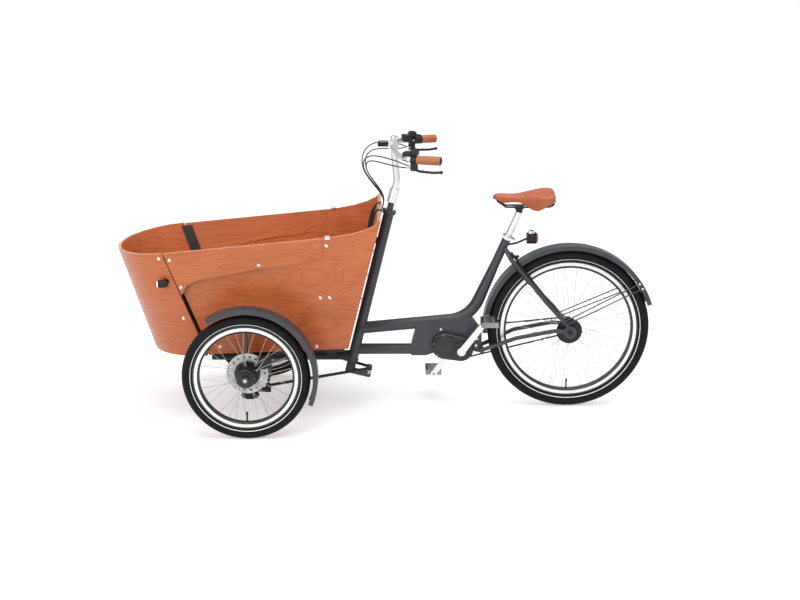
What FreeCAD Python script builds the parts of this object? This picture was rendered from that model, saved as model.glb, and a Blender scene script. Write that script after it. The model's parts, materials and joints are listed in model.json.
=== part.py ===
import FreeCAD, Part
import math
import os
import re
import Sketcher

Vector = FreeCAD.Vector
Placement = FreeCAD.Placement
Rotation = FreeCAD.Rotation

X_AXIS = Vector(1, 0, 0)
Y_AXIS = Vector(0, 1, 0)
Z_AXIS = Vector(0, 0, 1)

# Frame: +X to the rear, +Y to the rider's right, +Z up, origin on the ground below the middle
# Every "ahead" size is measured forwards from the rear axle
SIZES = {
    # Whole machine and general clearances
    "rear_axle_x": 732.3,
    "wheelbase": 1267.0,
    "track": 760.0,
    "running_fit": 0.05,
    "seat_gap": 0.3,
    "pivot_gap": 1.0,
    # Rear wheel
    "rear_tyre_radius": 327.0,
    "rear_tyre_width": 47.0,
    "rear_rim_seat": 281.0,
    "rear_rim_inner": 253.0,
    "rear_rim_width": 25.0,
    "rear_axle_radius": 6.0,
    "axle_end_radius": 5.0,
    "axle_end_length": 13.0,
    "rear_hub_radius": 22.0,
    "rear_flange_radius": 34.0,
    "rear_flange_centre": 26.0,
    "rear_hub_half": 34.0,
    "rear_spoke_count": 36,
    # Front wheels
    "front_tyre_radius": 244.0,
    "front_tyre_width": 42.0,
    "front_rim_seat": 204.0,
    "front_rim_inner": 177.0,
    "front_rim_width": 25.0,
    "front_axle_radius": 10.0,
    "front_hub_radius": 27.0,
    "front_flange_radius": 36.0,
    "front_flange_centre": 22.0,
    "front_hub_half": 34.0,
    "front_spoke_count": 28,
    "hub_cap_radius": 17.0,
    "hub_cap_length": 14.0,
    "flange_width": 7.0,
    "spoke_radius": 1.0,
    "spoke_lace": 24.0,
    "disc_radius": 80.0,
    "disc_hole_radius": 4.0,
    "disc_hole_circle": 66.0,
    "disc_hole_count": 18,
    "disc_thickness": 3.0,
    "disc_inset": 49.0,
    # Steering axis, head tube and steering column
    "steer_foot": 922.5,
    "steer_rake": 13.77,
    "head_low": 196.0,
    "head_high": 840.0,
    "head_radius": 21.0,
    "head_wall": 3.5,
    "head_foot_wall": 3.0,
    "head_collar_radius": 27.0,
    "head_collar_height": 14.0,
    "bearing_height": 12.0,
    "column_radius": 12.5,
    "column_low": 150.0,
    "column_high": 905.0,
    "crown_radius": 19.0,
    "pitman_reach": 75.0,
    "pitman_spread": 12.0,
    "pitman_thickness": 12.0,
    "pitman_end_radius": 12.0,
    # Frame beams
    "beam_radius": 24.0,
    "beam_wall": 3.0,
    "beam_head_height": 329.0,
    "beam_bend_ahead": 399.0,
    "beam_bend_height": 371.0,
    "beam_bend_radius": 140.0,
    "seat_tube_ahead": 250.0,
    "seat_tube_top": 713.0,
    "seat_tube_radius": 17.5,
    "lower_beam_height": 241.0,
    "lower_beam_radius": 22.0,
    "lower_beam_end": 636.0,
    "cradle_half": 22.0,
    "yoke_depth": 34.0,
    "yoke_height": 246.0,
    "yoke_radius": 9.0,
    "yoke_half": 46.0,
    # Motor and drive
    "crank_ahead": 435.0,
    "crank_height": 251.0,
    "motor_ahead": 499.6,
    "motor_height": 264.0,
    "motor_radius": 54.0,
    "crank_lobe_radius": 50.0,
    "motor_left": 50.0,
    "motor_right": 34.0,
    "motor_chamfer": 6.0,
    "motor_cover_radius": 44.0,
    "motor_cover_thickness": 7.0,
    "spindle_radius": 10.0,
    "crank_length": 175.0,
    "crank_angle": 52.9,
    "crank_inner": 68.0,
    "crank_width": 14.0,
    "crank_eye_radius": 17.0,
    "pedal_eye_radius": 13.0,
    "pedal_axle_radius": 4.5,
    "pedal_length": 92.0,
    "pedal_width": 66.0,
    "pedal_height": 22.0,
    "pulley_radius": 64.0,
    "sprocket_radius": 32.0,
    "belt_offset": 46.0,
    "belt_width": 11.0,
    "belt_thickness": 4.0,
    # Rear stays and axle hardware
    "stay_spread": 64.0,
    "stay_radius": 8.5,
    "dropout_thickness": 8.0,
    "dropout_radius": 26.0,
    "brake_radius": 52.0,
    "brake_inner": 37.0,
    "axle_nut_radius": 9.5,
    "axle_nut_height": 9.0,
    # Mudguards
    "guard_gap": 18.0,
    "guard_thickness": 2.5,
    "guard_lip": 16.0,
    "guard_wire_radius": 2.5,
    "guard_stay_radius": 5.0,
    "guard_wire_bend": 40.0,
    "rear_guard_half": 33.0,
    "rear_guard_start": 18.0,
    "rear_guard_sweep": 164.0,
    "front_guard_gap": 26.0,
    "front_guard_half": 31.0,
    "front_guard_start": -23.0,
    "front_guard_sweep": 145.0,
    # Seat
    "post_radius": 13.6,
    "post_rise": 101.0,
    "post_insert": 120.0,
    "clamp_height": 18.0,
    "clamp_wall": 4.5,
    "saddle_length": 246.0,
    "saddle_rear_half": 104.0,
    "saddle_nose_half": 26.0,
    "saddle_height": 46.0,
    "rail_radius": 3.5,
    "rail_spread": 22.0,
    # Ring lock and rear lamp
    "lock_turn": 128.6,
    "lock_wall": 5.0,
    "lock_depth": 26.0,
    "lock_height": 30.0,
    "lock_leg": 27.0,
    "rear_lamp_ahead": 160.0,
    "rear_lamp_height": 701.0,
    "rear_lamp_radius": 23.0,
    "rear_lamp_length": 34.0,
    "lens_thickness": 6.0,
    # Lean linkage below the box
    "spine_radius": 20.0,
    "upper_arm_height": 215.0,
    "lower_arm_height": 130.0,
    "arm_reach": 248.0,
    "arm_half_height": 12.0,
    "arm_half_width": 20.0,
    "arm_pin_radius": 6.0,
    "cheek_radius": 14.0,
    "cheek_thickness": 11.0,
    "lower_pin_radius": 8.0,
    "sleeve_wall": 8.0,
    "sleeve_half": 34.0,
    "hanger_offset": 46.0,
    "hanger_thickness": 10.0,
    "hanger_half": 30.0,
    "hanger_margin": 24.0,
    "spine_front": 1444.0,
    "cross_beam_width": 36.0,
    "cross_beam_height": 24.0,
    "post_half": 22.0,
    "front_beam_place": 470.0,
    "front_beam_half": 150.0,
    "rear_beam_place": 12.0,
    "rear_beam_half": 200.0,
    "rail_front": 230.0,
    "rail_length": 280.0,
    "rail_width": 24.0,
    "rail_depth": 16.0,
    # Uprights and steering knuckles
    "kingpin_spread": 290.0,
    "kingpin_radius": 8.0,
    "upright_half": 18.0,
    "upright_depth": 24.0,
    "boss_radius": 15.0,
    "boss_low": 175.0,
    "boss_high": 215.0,
    "lug_low": 152.0,
    "lug_high": 264.0,
    "web_thickness": 12.0,
    "steering_arm_thickness": 13.0,
    "steering_arm_half": 10.0,
    "link_radius": 7.0,
    "link_gap": 4.0,
    "ball_radius": 6.0,
    "ball_height": 22.6,
    "ball_flange": 5.0,
    "cup_radius": 11.0,
    # Box
    "box_datum": 950.0,
    "box_floor_height": 310.0,
    "box_pitch": 2.862,
    "ply": 12.0,
    "box_half": 240.0,
    "box_lean": 7.0,
    "box_rear_foot": 67.0,
    "box_rear_top": 224.1,
    "box_rear_height": 526.0,
    "rim_height": 455.0,
    "rim_slope": 0.048,
    "seam_foot": 480.0,
    "seam_slope": 0.31,
    "seam_gap": 4.0,
    "ledge_height": 9.0,
    "ledge_reach": 60.0,
    "nose_foot": 239.0,
    "nose_top": 216.0,
    "nose_top_height": 425.0,
    "recess_angle": 2.2,
    "rear_panel_drop": 18.0,
    "band_joint": 5.0,
    "bench_height": 226.0,
    "bench_front": 235.0,
    "bolt_radius": 7.0,
    "bolt_height": 3.5,
    "strap_width": 26.0,
    "strap_thickness": 2.5,
    "strap_spread": 75.0,
    "plate_ahead": 14.0,
    "plate_behind": 30.0,
    "plate_thickness": 3.0,
    "plate_low": 262.0,
    "plate_margin": 8.0,
    "plate_chamfer": 30.0,
    "spacer_radius": 6.5,
    "lamp_radius": 15.0,
    "lamp_length": 34.0,
    "lamp_standoff": 21.0,
    "lamp_foot_radius": 12.0,
    "lamp_foot_height": 4.0,
    "lamp_arm_radius": 6.0,
    # Handlebar
    "stem_low": 872.0,
    "stem_height": 56.0,
    "stem_wall": 7.0,
    "bar_ahead": 708.0,
    "bar_height": 1073.0,
    "bar_radius": 11.0,
    "bar_clamp_radius": 21.0,
    "bar_clamp_half": 24.0,
    "grip_ahead": 660.4,
    "grip_spread": 253.3,
    "grip_height": 1056.0,
    "grip_length": 135.0,
    "grip_start": 42.0,
    "grip_radius": 16.0,
    "grip_sweep": 20.4,
    "shifter_length": 30.0,
    "display_length": 40.0,
    "display_width": 66.0,
    "display_height": 15.0,
    "lever_drop": 36.0,
    "lever_length": 108.0,
    "cable_radius": 2.4,
}

doc = FreeCAD.newDocument("CargoTricycle")
sheet = doc.addObject("Spreadsheet::Sheet", "Sizes")
for row, (alias, amount) in enumerate(SIZES.items(), start=1):
    sheet.set(f"A{row}", alias)
    sheet.set(f"B{row}", str(amount))
    sheet.setAlias(f"B{row}", alias)
doc.recompute()


class SheetReader:
    """Gives the sheet's values as plain numbers."""

    def __getattr__(self, alias):
        return float(sheet.get(alias))


S = SheetReader()
NODES = []


def bound(text):
    """Turn the words of an expression into cells of the sheet."""
    return re.sub(r"[a-z]\w+", lambda word: "Sizes." + word.group(), text)


def ahead(distance):
    """X of a point that lies this far forwards of the rear axle."""
    return S.rear_axle_x - distance


def along(base, direction):
    """Placement at base whose Z axis points along direction."""
    return Placement(base, Rotation(Z_AXIS, direction))


def about_y(centre, start=0.0):
    """Placement of a piece turned about the Y axis, with local X raised by start degrees."""
    return Placement(centre, Rotation(X_AXIS, 90) * Rotation(Z_AXIS, start))


# Ways of making a piece


def primitive(kind, name, sizes, place):
    """A Part primitive whose sizes are expressions of the sheet."""
    item = doc.addObject(kind, name)
    for prop, text in sizes.items():
        item.setExpression(prop, bound(text))
    item.Placement = place
    return item


def cylinder(name, radius, height, base, direction):
    """A round bar from base along direction."""
    return primitive("Part::Cylinder", name, {"Radius": radius, "Height": height}, along(base, direction))


def block(name, sizes, corner, turn=Rotation()):
    """A box with its length, width and height given as expressions."""
    names = dict(zip(("Length", "Width", "Height"), sizes))
    return primitive("Part::Box", name, names, Placement(corner, turn))


def cut(name, base, tool):
    """The base piece with the tool taken out of it."""
    result = doc.addObject("Part::Cut", name)
    result.Base = base
    result.Tool = tool
    return result


def fused(name, pieces):
    """Several shapes welded into one piece."""
    result = doc.addObject("Part::MultiFuse", name)
    result.Shapes = pieces
    return result


def made(name, shape, place=Placement()):
    """A piece whose shape is worked out from the sheet's values."""
    item = doc.addObject("Part::Feature", name)
    item.Shape = shape
    item.Placement = place
    return item


def outline(body, plane_role, corners):
    """A closed sketch in one of the body's origin planes, its corners pairs of expressions."""
    plane = next(item for item in body.Origin.OriginFeatures if item.Role == plane_role)
    sketch = body.newObject("Sketcher::SketchObject", body.Name + "_outline")
    sketch.AttachmentSupport = [(plane, "")]
    sketch.MapMode = "FlatFace"
    count = len(corners)
    ring = [2 * math.pi * index / count for index in range(count)]
    start = [Vector(math.cos(turn), math.sin(turn), 0) for turn in ring]
    for index in range(count):
        sketch.addGeometry(Part.LineSegment(start[index], start[(index + 1) % count]), False)
    for index in range(count):
        sketch.addConstraint(Sketcher.Constraint("Coincident", index, 2, (index + 1) % count, 1))
    for index, pair in enumerate(corners):
        for kind, text, first in zip(("DistanceX", "DistanceY"), pair, (start[index].x, start[index].y)):
            number = sketch.addConstraint(Sketcher.Constraint(kind, -1, 1, index, 1, first))
            sketch.setExpression(f"Constraints[{number}]", bound(text))
    return sketch


def revolved(name, corners, place, sweep=None):
    """A body turned about its Z axis from corners given as radius and height."""
    body = doc.addObject("PartDesign::Body", name)
    sketch = outline(body, "XZ_Plane", corners)
    turning = body.newObject("PartDesign::Revolution", name + "_turn")
    turning.Profile = sketch
    turning.ReferenceAxis = (sketch, ["V_Axis"])
    turning.Angle = 360
    if sweep:
        turning.setExpression("Angle", bound(sweep))
    body.Placement = place
    return body


def bent_path(points, radii):
    """Straight runs joined by tangent arcs, one radius for each inner point."""
    edges = []
    last = points[0]
    for before, corner, after, radius in zip(points, points[1:], points[2:], radii):
        inward = (before - corner).normalize()
        outward = (after - corner).normalize()
        half = inward.getAngle(outward) / 2
        reach = radius / math.tan(half)
        start = corner + inward * reach
        end = corner + outward * reach
        middle = (inward + outward).normalize()
        crown = corner + middle * (radius / math.sin(half) - radius)
        edges.append(Part.LineSegment(last, start).toShape())
        edges.append(Part.Arc(start, crown, end).toShape())
        last = end
    edges.append(Part.LineSegment(last, points[-1]).toShape())
    return Part.Wire(edges)


def swept_round(path, radius):
    """A solid round bar along a path."""
    first = path.Edges[0]
    ring = Part.Wire(Part.makeCircle(radius, first.Vertexes[0].Point, first.tangentAt(first.FirstParameter)))
    return path.makePipeShell([ring], True, False)


def bent_bar(points, radius, bend):
    """A round bar through the points, with every bend at one radius."""
    return swept_round(bent_path(points, [bend] * (len(points) - 2)), radius)


def node(label, pieces):
    """Name a finished piece, or a group of separate pieces, for export."""
    item = pieces[0]
    if len(pieces) > 1:
        item = doc.addObject("Part::Compound", label + "_group")
        item.Links = pieces
    item.Label = label
    NODES.append(item)


# Wheels


def wheel_parts(label, kind, centre, side):
    """Tyre, rim and laced hub of one wheel; kind picks the sheet's front or rear sizes."""
    width = getattr(S, kind + "_tyre_width")
    torus = primitive(
        "Part::Torus",
        label + "_torus",
        {"Radius1": f"{kind}_tyre_radius - {kind}_tyre_width / 2", "Radius2": f"{kind}_tyre_width / 2"},
        along(centre, Y_AXIS),
    )
    seat_base = centre - Y_AXIS * width / 2
    seat = cylinder(label + "_seat", f"{kind}_rim_seat", f"{kind}_tyre_width", seat_base, Y_AXIS)
    node(label + "_tyre", [cut(label + "_tyre", torus, seat)])

    outer = f"{kind}_rim_seat - running_fit"
    half = f"{kind}_rim_width / 2"
    inner = f"{kind}_rim_inner"
    rim = revolved(
        label + "_rim",
        [
            (inner, f"-{kind}_rim_width / 3"),
            (f"{inner} + 5", f"-{half}"),
            (outer, f"-{half}"),
            (outer, half),
            (f"{inner} + 5", half),
            (inner, f"{kind}_rim_width / 3"),
        ],
        about_y(centre),
    )
    node(label + "_rim", [rim])

    bore = f"{kind}_axle_radius + running_fit"
    barrel = f"{kind}_hub_radius"
    flange = f"{kind}_flange_radius"
    near = f"{kind}_flange_centre - flange_width / 2"
    far = f"{kind}_flange_centre + flange_width / 2"
    end = f"{kind}_hub_half"
    upper = [(flange, near), (flange, far), (barrel, far), (barrel, end), (bore, end)]
    corners = [(bore, f"-{end}"), (barrel, f"-{end}"), (barrel, f"-({far})"), (flange, f"-({far})")]
    corners += [(flange, f"-({near})"), (barrel, f"-({near})"), (barrel, near)] + upper
    hub = revolved(label + "_barrel", corners, about_y(centre))
    pieces = [hub, made(label + "_spokes", spokes(kind), Placement(centre, Rotation()))]
    if kind == "front":
        pieces.append(brake_disc(label, centre, side))
        cap_base = centre + Y_AXIS * side * S.front_hub_half
        cap = cylinder(label + "_cap", "hub_cap_radius", "hub_cap_length", cap_base, Y_AXIS * side)
        hole = cylinder(label + "_cap_bore", bore, "hub_cap_length * 0.6", cap_base, Y_AXIS * side)
        pieces.append(cut(label + "_hub_cap", cap, hole))
    node(label + "_hub", pieces)


def spokes(kind):
    """Laced spokes between the hub flanges and the rim, about the Y axis."""
    count = int(getattr(S, kind + "_spoke_count"))
    start_radius = getattr(S, kind + "_flange_radius") + S.seat_gap + S.spoke_radius / 2
    end_radius = getattr(S, kind + "_rim_inner") - S.seat_gap - S.spoke_radius / 2
    flange = getattr(S, kind + "_flange_centre")
    rim_half = getattr(S, kind + "_rim_width") / 8
    aside = 1.5 * S.spoke_radius
    bars = []
    for index in range(count):
        side = 1 if index % 2 else -1
        lace = 1 if (index // 2) % 2 else -1
        low = math.radians(360 * index / count)
        high = low + math.radians(S.spoke_lace) * lace
        shift = aside * lace
        start = Vector(start_radius * math.cos(low), side * flange + shift, start_radius * math.sin(low))
        end = Vector(end_radius * math.cos(high), side * rim_half + shift, end_radius * math.sin(high))
        bars.append(Part.makeCylinder(S.spoke_radius, (end - start).Length, start, end - start))
    return Part.makeCompound(bars)


def brake_disc(label, centre, side):
    """Drilled brake disc with its carrier, on the inner end of a front hub."""
    body = doc.addObject("PartDesign::Body", label + "_disc")
    sketch = outline(
        body,
        "XZ_Plane",
        [
            ("front_axle_radius + running_fit", "disc_thickness / -2"),
            ("disc_radius", "disc_thickness / -2"),
            ("disc_radius", "disc_thickness / 2"),
            ("front_hub_radius - 3", "disc_thickness / 2"),
            ("front_hub_radius - 3", "disc_inset - front_hub_half"),
            ("front_axle_radius + running_fit", "disc_inset - front_hub_half"),
        ],
    )
    turning = body.newObject("PartDesign::Revolution", label + "_disc_turn")
    turning.Profile = sketch
    turning.ReferenceAxis = (sketch, ["V_Axis"])
    turning.Angle = 360
    plane = next(item for item in body.Origin.OriginFeatures if item.Role == "XY_Plane")
    hole_sketch = body.newObject("Sketcher::SketchObject", label + "_disc_hole")
    hole_sketch.AttachmentSupport = [(plane, "")]
    hole_sketch.MapMode = "FlatFace"
    hole_sketch.addGeometry(Part.Circle(Vector(60, 0, 0), Z_AXIS, 4), False)
    hole_sketch.addConstraint(Sketcher.Constraint("DistanceX", -1, 1, 0, 3, 60))
    hole_sketch.addConstraint(Sketcher.Constraint("DistanceY", -1, 1, 0, 3, 0))
    hole_sketch.addConstraint(Sketcher.Constraint("Radius", 0, 4))
    hole_sketch.setExpression("Constraints[0]", bound("disc_hole_circle"))
    hole_sketch.setExpression("Constraints[2]", bound("disc_hole_radius"))
    pocket = body.newObject("PartDesign::Pocket", label + "_disc_pocket")
    pocket.Profile = hole_sketch
    pocket.Type = "ThroughAll"
    pocket.Midplane = True
    pattern = body.newObject("PartDesign::PolarPattern", label + "_disc_pattern")
    pattern.Originals = [pocket]
    pattern.Axis = (hole_sketch, ["N_Axis"])
    pattern.Angle = 360
    pattern.setExpression("Occurrences", bound("disc_hole_count"))
    body.Tip = pattern
    # The carrier faces the hub, which lies on the outer side of the disc
    body.Placement = along(centre - Y_AXIS * side * S.disc_inset, Y_AXIS * side)
    return body


REAR_CENTRE = Vector(S.rear_axle_x, 0, S.rear_tyre_radius)
FRONT_X = ahead(S.wheelbase)
FRONT_CENTRE = {side: Vector(FRONT_X, side * S.track / 2, S.front_tyre_radius) for side in (-1, 1)}
SIDE_NAME = {-1: "left", 1: "right"}

wheel_parts("rear", "rear", REAR_CENTRE, 0)
for side in (-1, 1):
    wheel_parts(SIDE_NAME[side] + "_front", "front", FRONT_CENTRE[side], side)


# Head tube, bearings and frame beams

STEER_DIRECTION = Rotation(Y_AXIS, S.steer_rake).multVec(Z_AXIS)
STEER_PLACE = Placement(Vector(ahead(S.steer_foot), 0, 0), Rotation(Y_AXIS, S.steer_rake))


def steer_point(distance):
    """Point on the steering axis, this far along it from the ground."""
    return STEER_PLACE.multVec(Vector(0, 0, distance))


def steer_at_height(height):
    """Point on the steering axis at a height above the ground."""
    return steer_point(height / math.cos(math.radians(S.steer_rake)))


def head_clearance(name, radius="head_radius"):
    """Round bar of the head tube's size, for trimming what is welded to it."""
    return cylinder(name, radius, "head_high - head_low", steer_point(S.head_low), STEER_DIRECTION)


def frame_tubes():
    """Head tube with its bearings, main beam with the seat tube, lower beam with the motor cradle."""
    bore = "head_radius - head_wall"
    collar_foot = "head_high - head_collar_height"
    head = revolved(
        "head_tube",
        [
            (bore, "head_low"),
            ("head_radius + head_foot_wall", "head_low"),
            ("head_radius + head_foot_wall", "head_low + head_collar_height"),
            ("head_radius", "head_low + head_collar_height + 3"),
            ("head_radius", f"{collar_foot} - 6"),
            ("head_collar_radius", collar_foot),
            ("head_collar_radius", "head_high"),
            (bore, "head_high"),
        ],
        STEER_PLACE,
    )
    node("head_tube", [head])
    bearings = []
    for name, low in (("lower", "head_low"), ("upper", "head_high - bearing_height")):
        corners = [
            ("column_radius + running_fit", low),
            (f"{bore} - running_fit", low),
            (f"{bore} - running_fit", f"{low} + bearing_height"),
            ("column_radius + running_fit", f"{low} + bearing_height"),
        ]
        bearings.append(revolved(name + "_bearing", corners, STEER_PLACE))
    node("head_bearings", bearings)

    head_end = steer_at_height(S.beam_head_height)
    bend = Vector(ahead(S.beam_bend_ahead), 0, S.beam_bend_height)
    top = Vector(ahead(S.seat_tube_ahead), 0, S.seat_tube_top)
    seat_line = (top - bend).normalize()
    turn = (head_end - bend).getAngle(top - bend)
    tangent = S.beam_bend_radius / math.tan(turn / 2)
    joint = bend + seat_line * (tangent + 1)
    path = bent_path([head_end, bend, joint], [S.beam_bend_radius])
    beam = swept_round(path, S.beam_radius).cut(swept_round(path, S.beam_radius - S.beam_wall))
    beam_item = cut("main_beam_tube", made("beam_sweep", beam), head_clearance("beam_trim"))
    length = (top - joint).Length
    bore_radius = S.post_radius + S.running_fit
    taper = [
        Vector(bore_radius, 0, 0),
        Vector(S.beam_radius, 0, 0),
        Vector(S.seat_tube_radius, 0, length * 0.6),
        Vector(S.seat_tube_radius, 0, length),
        Vector(bore_radius, 0, length),
    ]
    profile = Part.Face(Part.makePolygon(taper + taper[:1]))
    seat_tube = made("seat_tube", profile.revolve(Vector(), Z_AXIS, 360), along(joint, seat_line))
    node("main_beam", [beam_item, seat_tube])
    return top, seat_line, joint


SEAT_TOP, SEAT_LINE, SEAT_JOINT = frame_tubes()


def main_beam_room(name):
    """Solid bar of the main beam's size, for trimming what is welded below it."""
    bend = Vector(ahead(S.beam_bend_ahead), 0, S.beam_bend_height)
    path = bent_path([steer_at_height(S.beam_head_height), bend, SEAT_JOINT], [S.beam_bend_radius])
    return made(name, swept_round(path, S.beam_radius))


MOTOR_CENTRE = Vector(ahead(S.motor_ahead), 0, S.motor_height)
CRANK_CENTRE = Vector(ahead(S.crank_ahead), 0, S.crank_height)


def motor_form(margin, left, right):
    """Two-lobed body of the motor, one lobe for the motor and one round the crank spindle."""
    lobes = []
    for centre, radius in ((MOTOR_CENTRE, S.motor_radius), (CRANK_CENTRE, S.crank_lobe_radius)):
        lobes.append((centre - Y_AXIS * left, radius + margin))
    (first, wide), (second, narrow) = lobes
    line = second - first
    swing = math.degrees(math.acos((wide - narrow) / line.Length))
    direction = line.normalize()
    corners = []
    for (centre, radius), hands in zip(lobes, ((1, -1), (-1, 1))):
        corners += [centre + Rotation(Y_AXIS, hand * swing).multVec(direction) * radius for hand in hands]
    web = Part.Face(Part.makePolygon(corners + corners[:1])).extrude(Y_AXIS * (left + right))
    rounds = [Part.makeCylinder(radius, left + right, centre, Y_AXIS) for centre, radius in lobes]
    return web.fuse(rounds).removeSplitter()


def yoke_tube(x):
    """Cross tube behind the motor, from which the chain stays run back."""
    return Part.makeCylinder(S.yoke_radius, 2 * S.yoke_half, Vector(x, -S.yoke_half, S.yoke_height), Y_AXIS)


def lower_frame():
    """Lower beam, and the gusset that carries the motor below the main beam."""
    start = steer_at_height(S.lower_beam_height)
    length = ahead(S.lower_beam_end) - start.x
    tube = made("lower_tube", Part.makeCylinder(S.lower_beam_radius, length, start, X_AXIS))
    beam = cut("lower_beam_tube", tube, head_clearance("lower_trim"))

    middle = (MOTOR_CENTRE + CRANK_CENTRE) / 2
    bend = Vector(ahead(S.beam_bend_ahead), 0, S.beam_bend_height)
    low = S.lower_beam_height - S.lower_beam_radius
    front = ahead(S.lower_beam_end)
    yoke_rear = CRANK_CENTRE.x + S.crank_lobe_radius + S.seat_gap + S.yoke_depth
    corners = [
        (front, low),
        (front, low + 2 * S.lower_beam_radius),
        (front + S.lower_beam_radius, bend.z - S.beam_radius),
        (middle.x, bend.z - S.beam_radius / 3),
        (bend.x + S.beam_radius / 6, bend.z + S.beam_radius / 2),
        (yoke_rear, bend.z - 2 * S.beam_radius),
        (yoke_rear, S.yoke_height - S.yoke_depth / 2),
        (middle.x, middle.z),
        (MOTOR_CENTRE.x - S.motor_radius - S.lower_beam_radius, low),
    ]
    points = [Vector(x, -S.cradle_half, z) for x, z in corners]
    slab = Part.Face(Part.makePolygon(points + points[:1])).extrude(Y_AXIS * 2 * S.cradle_half)
    motor_room = made("motor_room", motor_form(S.seat_gap, S.motor_left, S.motor_right))
    tools = fused("cradle_tools", [motor_room, main_beam_room("gusset_trim")])
    yoke_bar = yoke_tube(yoke_rear)
    node("lower_beam", [beam, cut("motor_cradle", made("gusset_slab", slab.fuse(yoke_bar)), tools)])
    return yoke_rear


YOKE_REAR = lower_frame()


# Rear stays, axle and brake


def rear_stays():
    """Chain stays, seat stays and dropouts, one welded piece on each side."""
    stays = []
    for side in (-1, 1):
        wide = side * S.stay_spread
        name = SIDE_NAME[side]
        inboard = side * (S.yoke_half - S.stay_radius)
        chain_points = [
            Vector(YOKE_REAR, inboard, S.yoke_height),
            Vector(YOKE_REAR + 4 * S.stay_radius, inboard + side * 6, S.yoke_height + 14),
            Vector(ahead(215), wide, S.yoke_height + 58),
            Vector(ahead(60), wide, S.rear_tyre_radius + 7),
            REAR_CENTRE + Vector(6 - S.dropout_radius, wide, 4),
        ]
        stay_top = SEAT_TOP - SEAT_LINE * 58
        seat_points = [
            stay_top + Vector(S.seat_tube_radius * 0.6, side * (S.seat_tube_radius + S.stay_radius * 0.7), 0),
            stay_top + Vector(22, side * (S.stay_spread - S.stay_radius), -22),
            Vector(ahead(100), side * (S.stay_spread - 2), 452),
            REAR_CENTRE + Vector(-4, wide, S.dropout_radius - 6),
        ]
        chain = made(name + "_chain_stay", bent_bar(chain_points, S.stay_radius, 45))
        seat = made(name + "_seat_stay", bent_bar(seat_points, S.stay_radius - 1, 22))
        face = REAR_CENTRE + Y_AXIS * (wide - S.dropout_thickness / 2)
        plate = cylinder(name + "_dropout_plate", "dropout_radius", "dropout_thickness", face, Y_AXIS)
        hole = cylinder(name + "_dropout_hole", "rear_axle_radius + running_fit", "dropout_thickness * 9",
                        face - Y_AXIS * 4 * S.dropout_thickness, Y_AXIS)
        weld = fused(name + "_stay_weld", [chain, seat, plate])
        reach = (SEAT_TOP - SEAT_JOINT).Length
        tube_room = made(name + "_tube_room", Part.makeCylinder(S.seat_tube_radius, reach),
                         along(SEAT_JOINT, SEAT_LINE))
        taper_room = made(name + "_taper_room", Part.makeCone(S.beam_radius, S.seat_tube_radius, reach * 0.6),
                          along(SEAT_JOINT, SEAT_LINE))
        yoke_room = made(name + "_yoke_room", yoke_tube(YOKE_REAR))
        room = fused(name + "_stay_room", [hole, tube_room, taper_room, yoke_room])
        stays.append(cut(name + "_stay", weld, room))
    node("rear_stays", stays)


rear_stays()


def rear_axle_and_brake():
    """Fixed rear axle with its nuts, and the finned brake drum on the left."""
    core = "(stay_spread + dropout_thickness / 2 + axle_nut_height)"
    tip = f"({core} + axle_end_length)"
    axle_corners = [
        ("0", f"0 - {tip}"),
        ("axle_end_radius", f"0 - {tip}"),
        ("axle_end_radius", f"0 - {core}"),
        ("rear_axle_radius", f"0 - {core}"),
        ("rear_axle_radius", core),
        ("axle_end_radius", core),
        ("axle_end_radius", tip),
        ("0", tip),
    ]
    pieces = [revolved("rear_axle_bar", axle_corners, about_y(REAR_CENTRE))]
    for side in (-1, 1):
        face = REAR_CENTRE + Y_AXIS * side * (S.stay_spread + S.dropout_thickness / 2)
        corners = [
            ("rear_axle_radius + running_fit", "0"),
            ("axle_nut_radius", "0"),
            ("axle_nut_radius", "axle_nut_height * 0.75"),
            ("axle_nut_radius - 2", "axle_nut_height"),
            ("rear_axle_radius + running_fit", "axle_nut_height"),
        ]
        pieces.append(revolved(SIDE_NAME[side] + "_axle_nut", corners, along(face, Y_AXIS * side)))
    end = "stay_spread - stay_radius - pivot_gap"
    fin = f"({end} - brake_inner) / 5"
    corners = [("rear_axle_radius + running_fit", "brake_inner"), ("brake_radius * 0.6", "brake_inner")]
    for step in range(3):
        low = f"brake_inner + {fin} * ({step} + 0.5)"
        radius = f"brake_radius - {4 * step}"
        corners += [("brake_radius * 0.6", low), (radius, low), (radius, f"{low} + {fin} / 2")]
        corners += [("brake_radius * 0.6", f"{low} + {fin} / 2")]
    corners += [("brake_radius * 0.6", end), ("rear_axle_radius + running_fit", end)]
    pieces.append(revolved("brake_drum", corners, about_y(REAR_CENTRE)))
    node("rear_brake", pieces)


rear_axle_and_brake()


# Motor, cranks, pedals and belt

def motor_unit():
    """Two-lobed motor casing, bored for the crank spindle, with its round left cover."""
    form = motor_form(0.0, S.motor_left, S.motor_right)
    rims = [edge for edge in form.Edges if edge.BoundBox.YLength < S.running_fit]
    casing = made("motor_casing", form.makeChamfer(S.motor_chamfer, rims))
    bore = cylinder("spindle_bore", "spindle_radius + running_fit", "crank_inner * 2",
                    CRANK_CENTRE - Y_AXIS * S.crank_inner, Y_AXIS)
    cover_face = MOTOR_CENTRE - Y_AXIS * (S.motor_left + S.motor_cover_thickness)
    cover = cylinder("motor_cover", "motor_cover_radius", "motor_cover_thickness", cover_face, Y_AXIS)
    node("motor_housing", [cut("motor_case", casing, bore), cover])


motor_unit()


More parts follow.
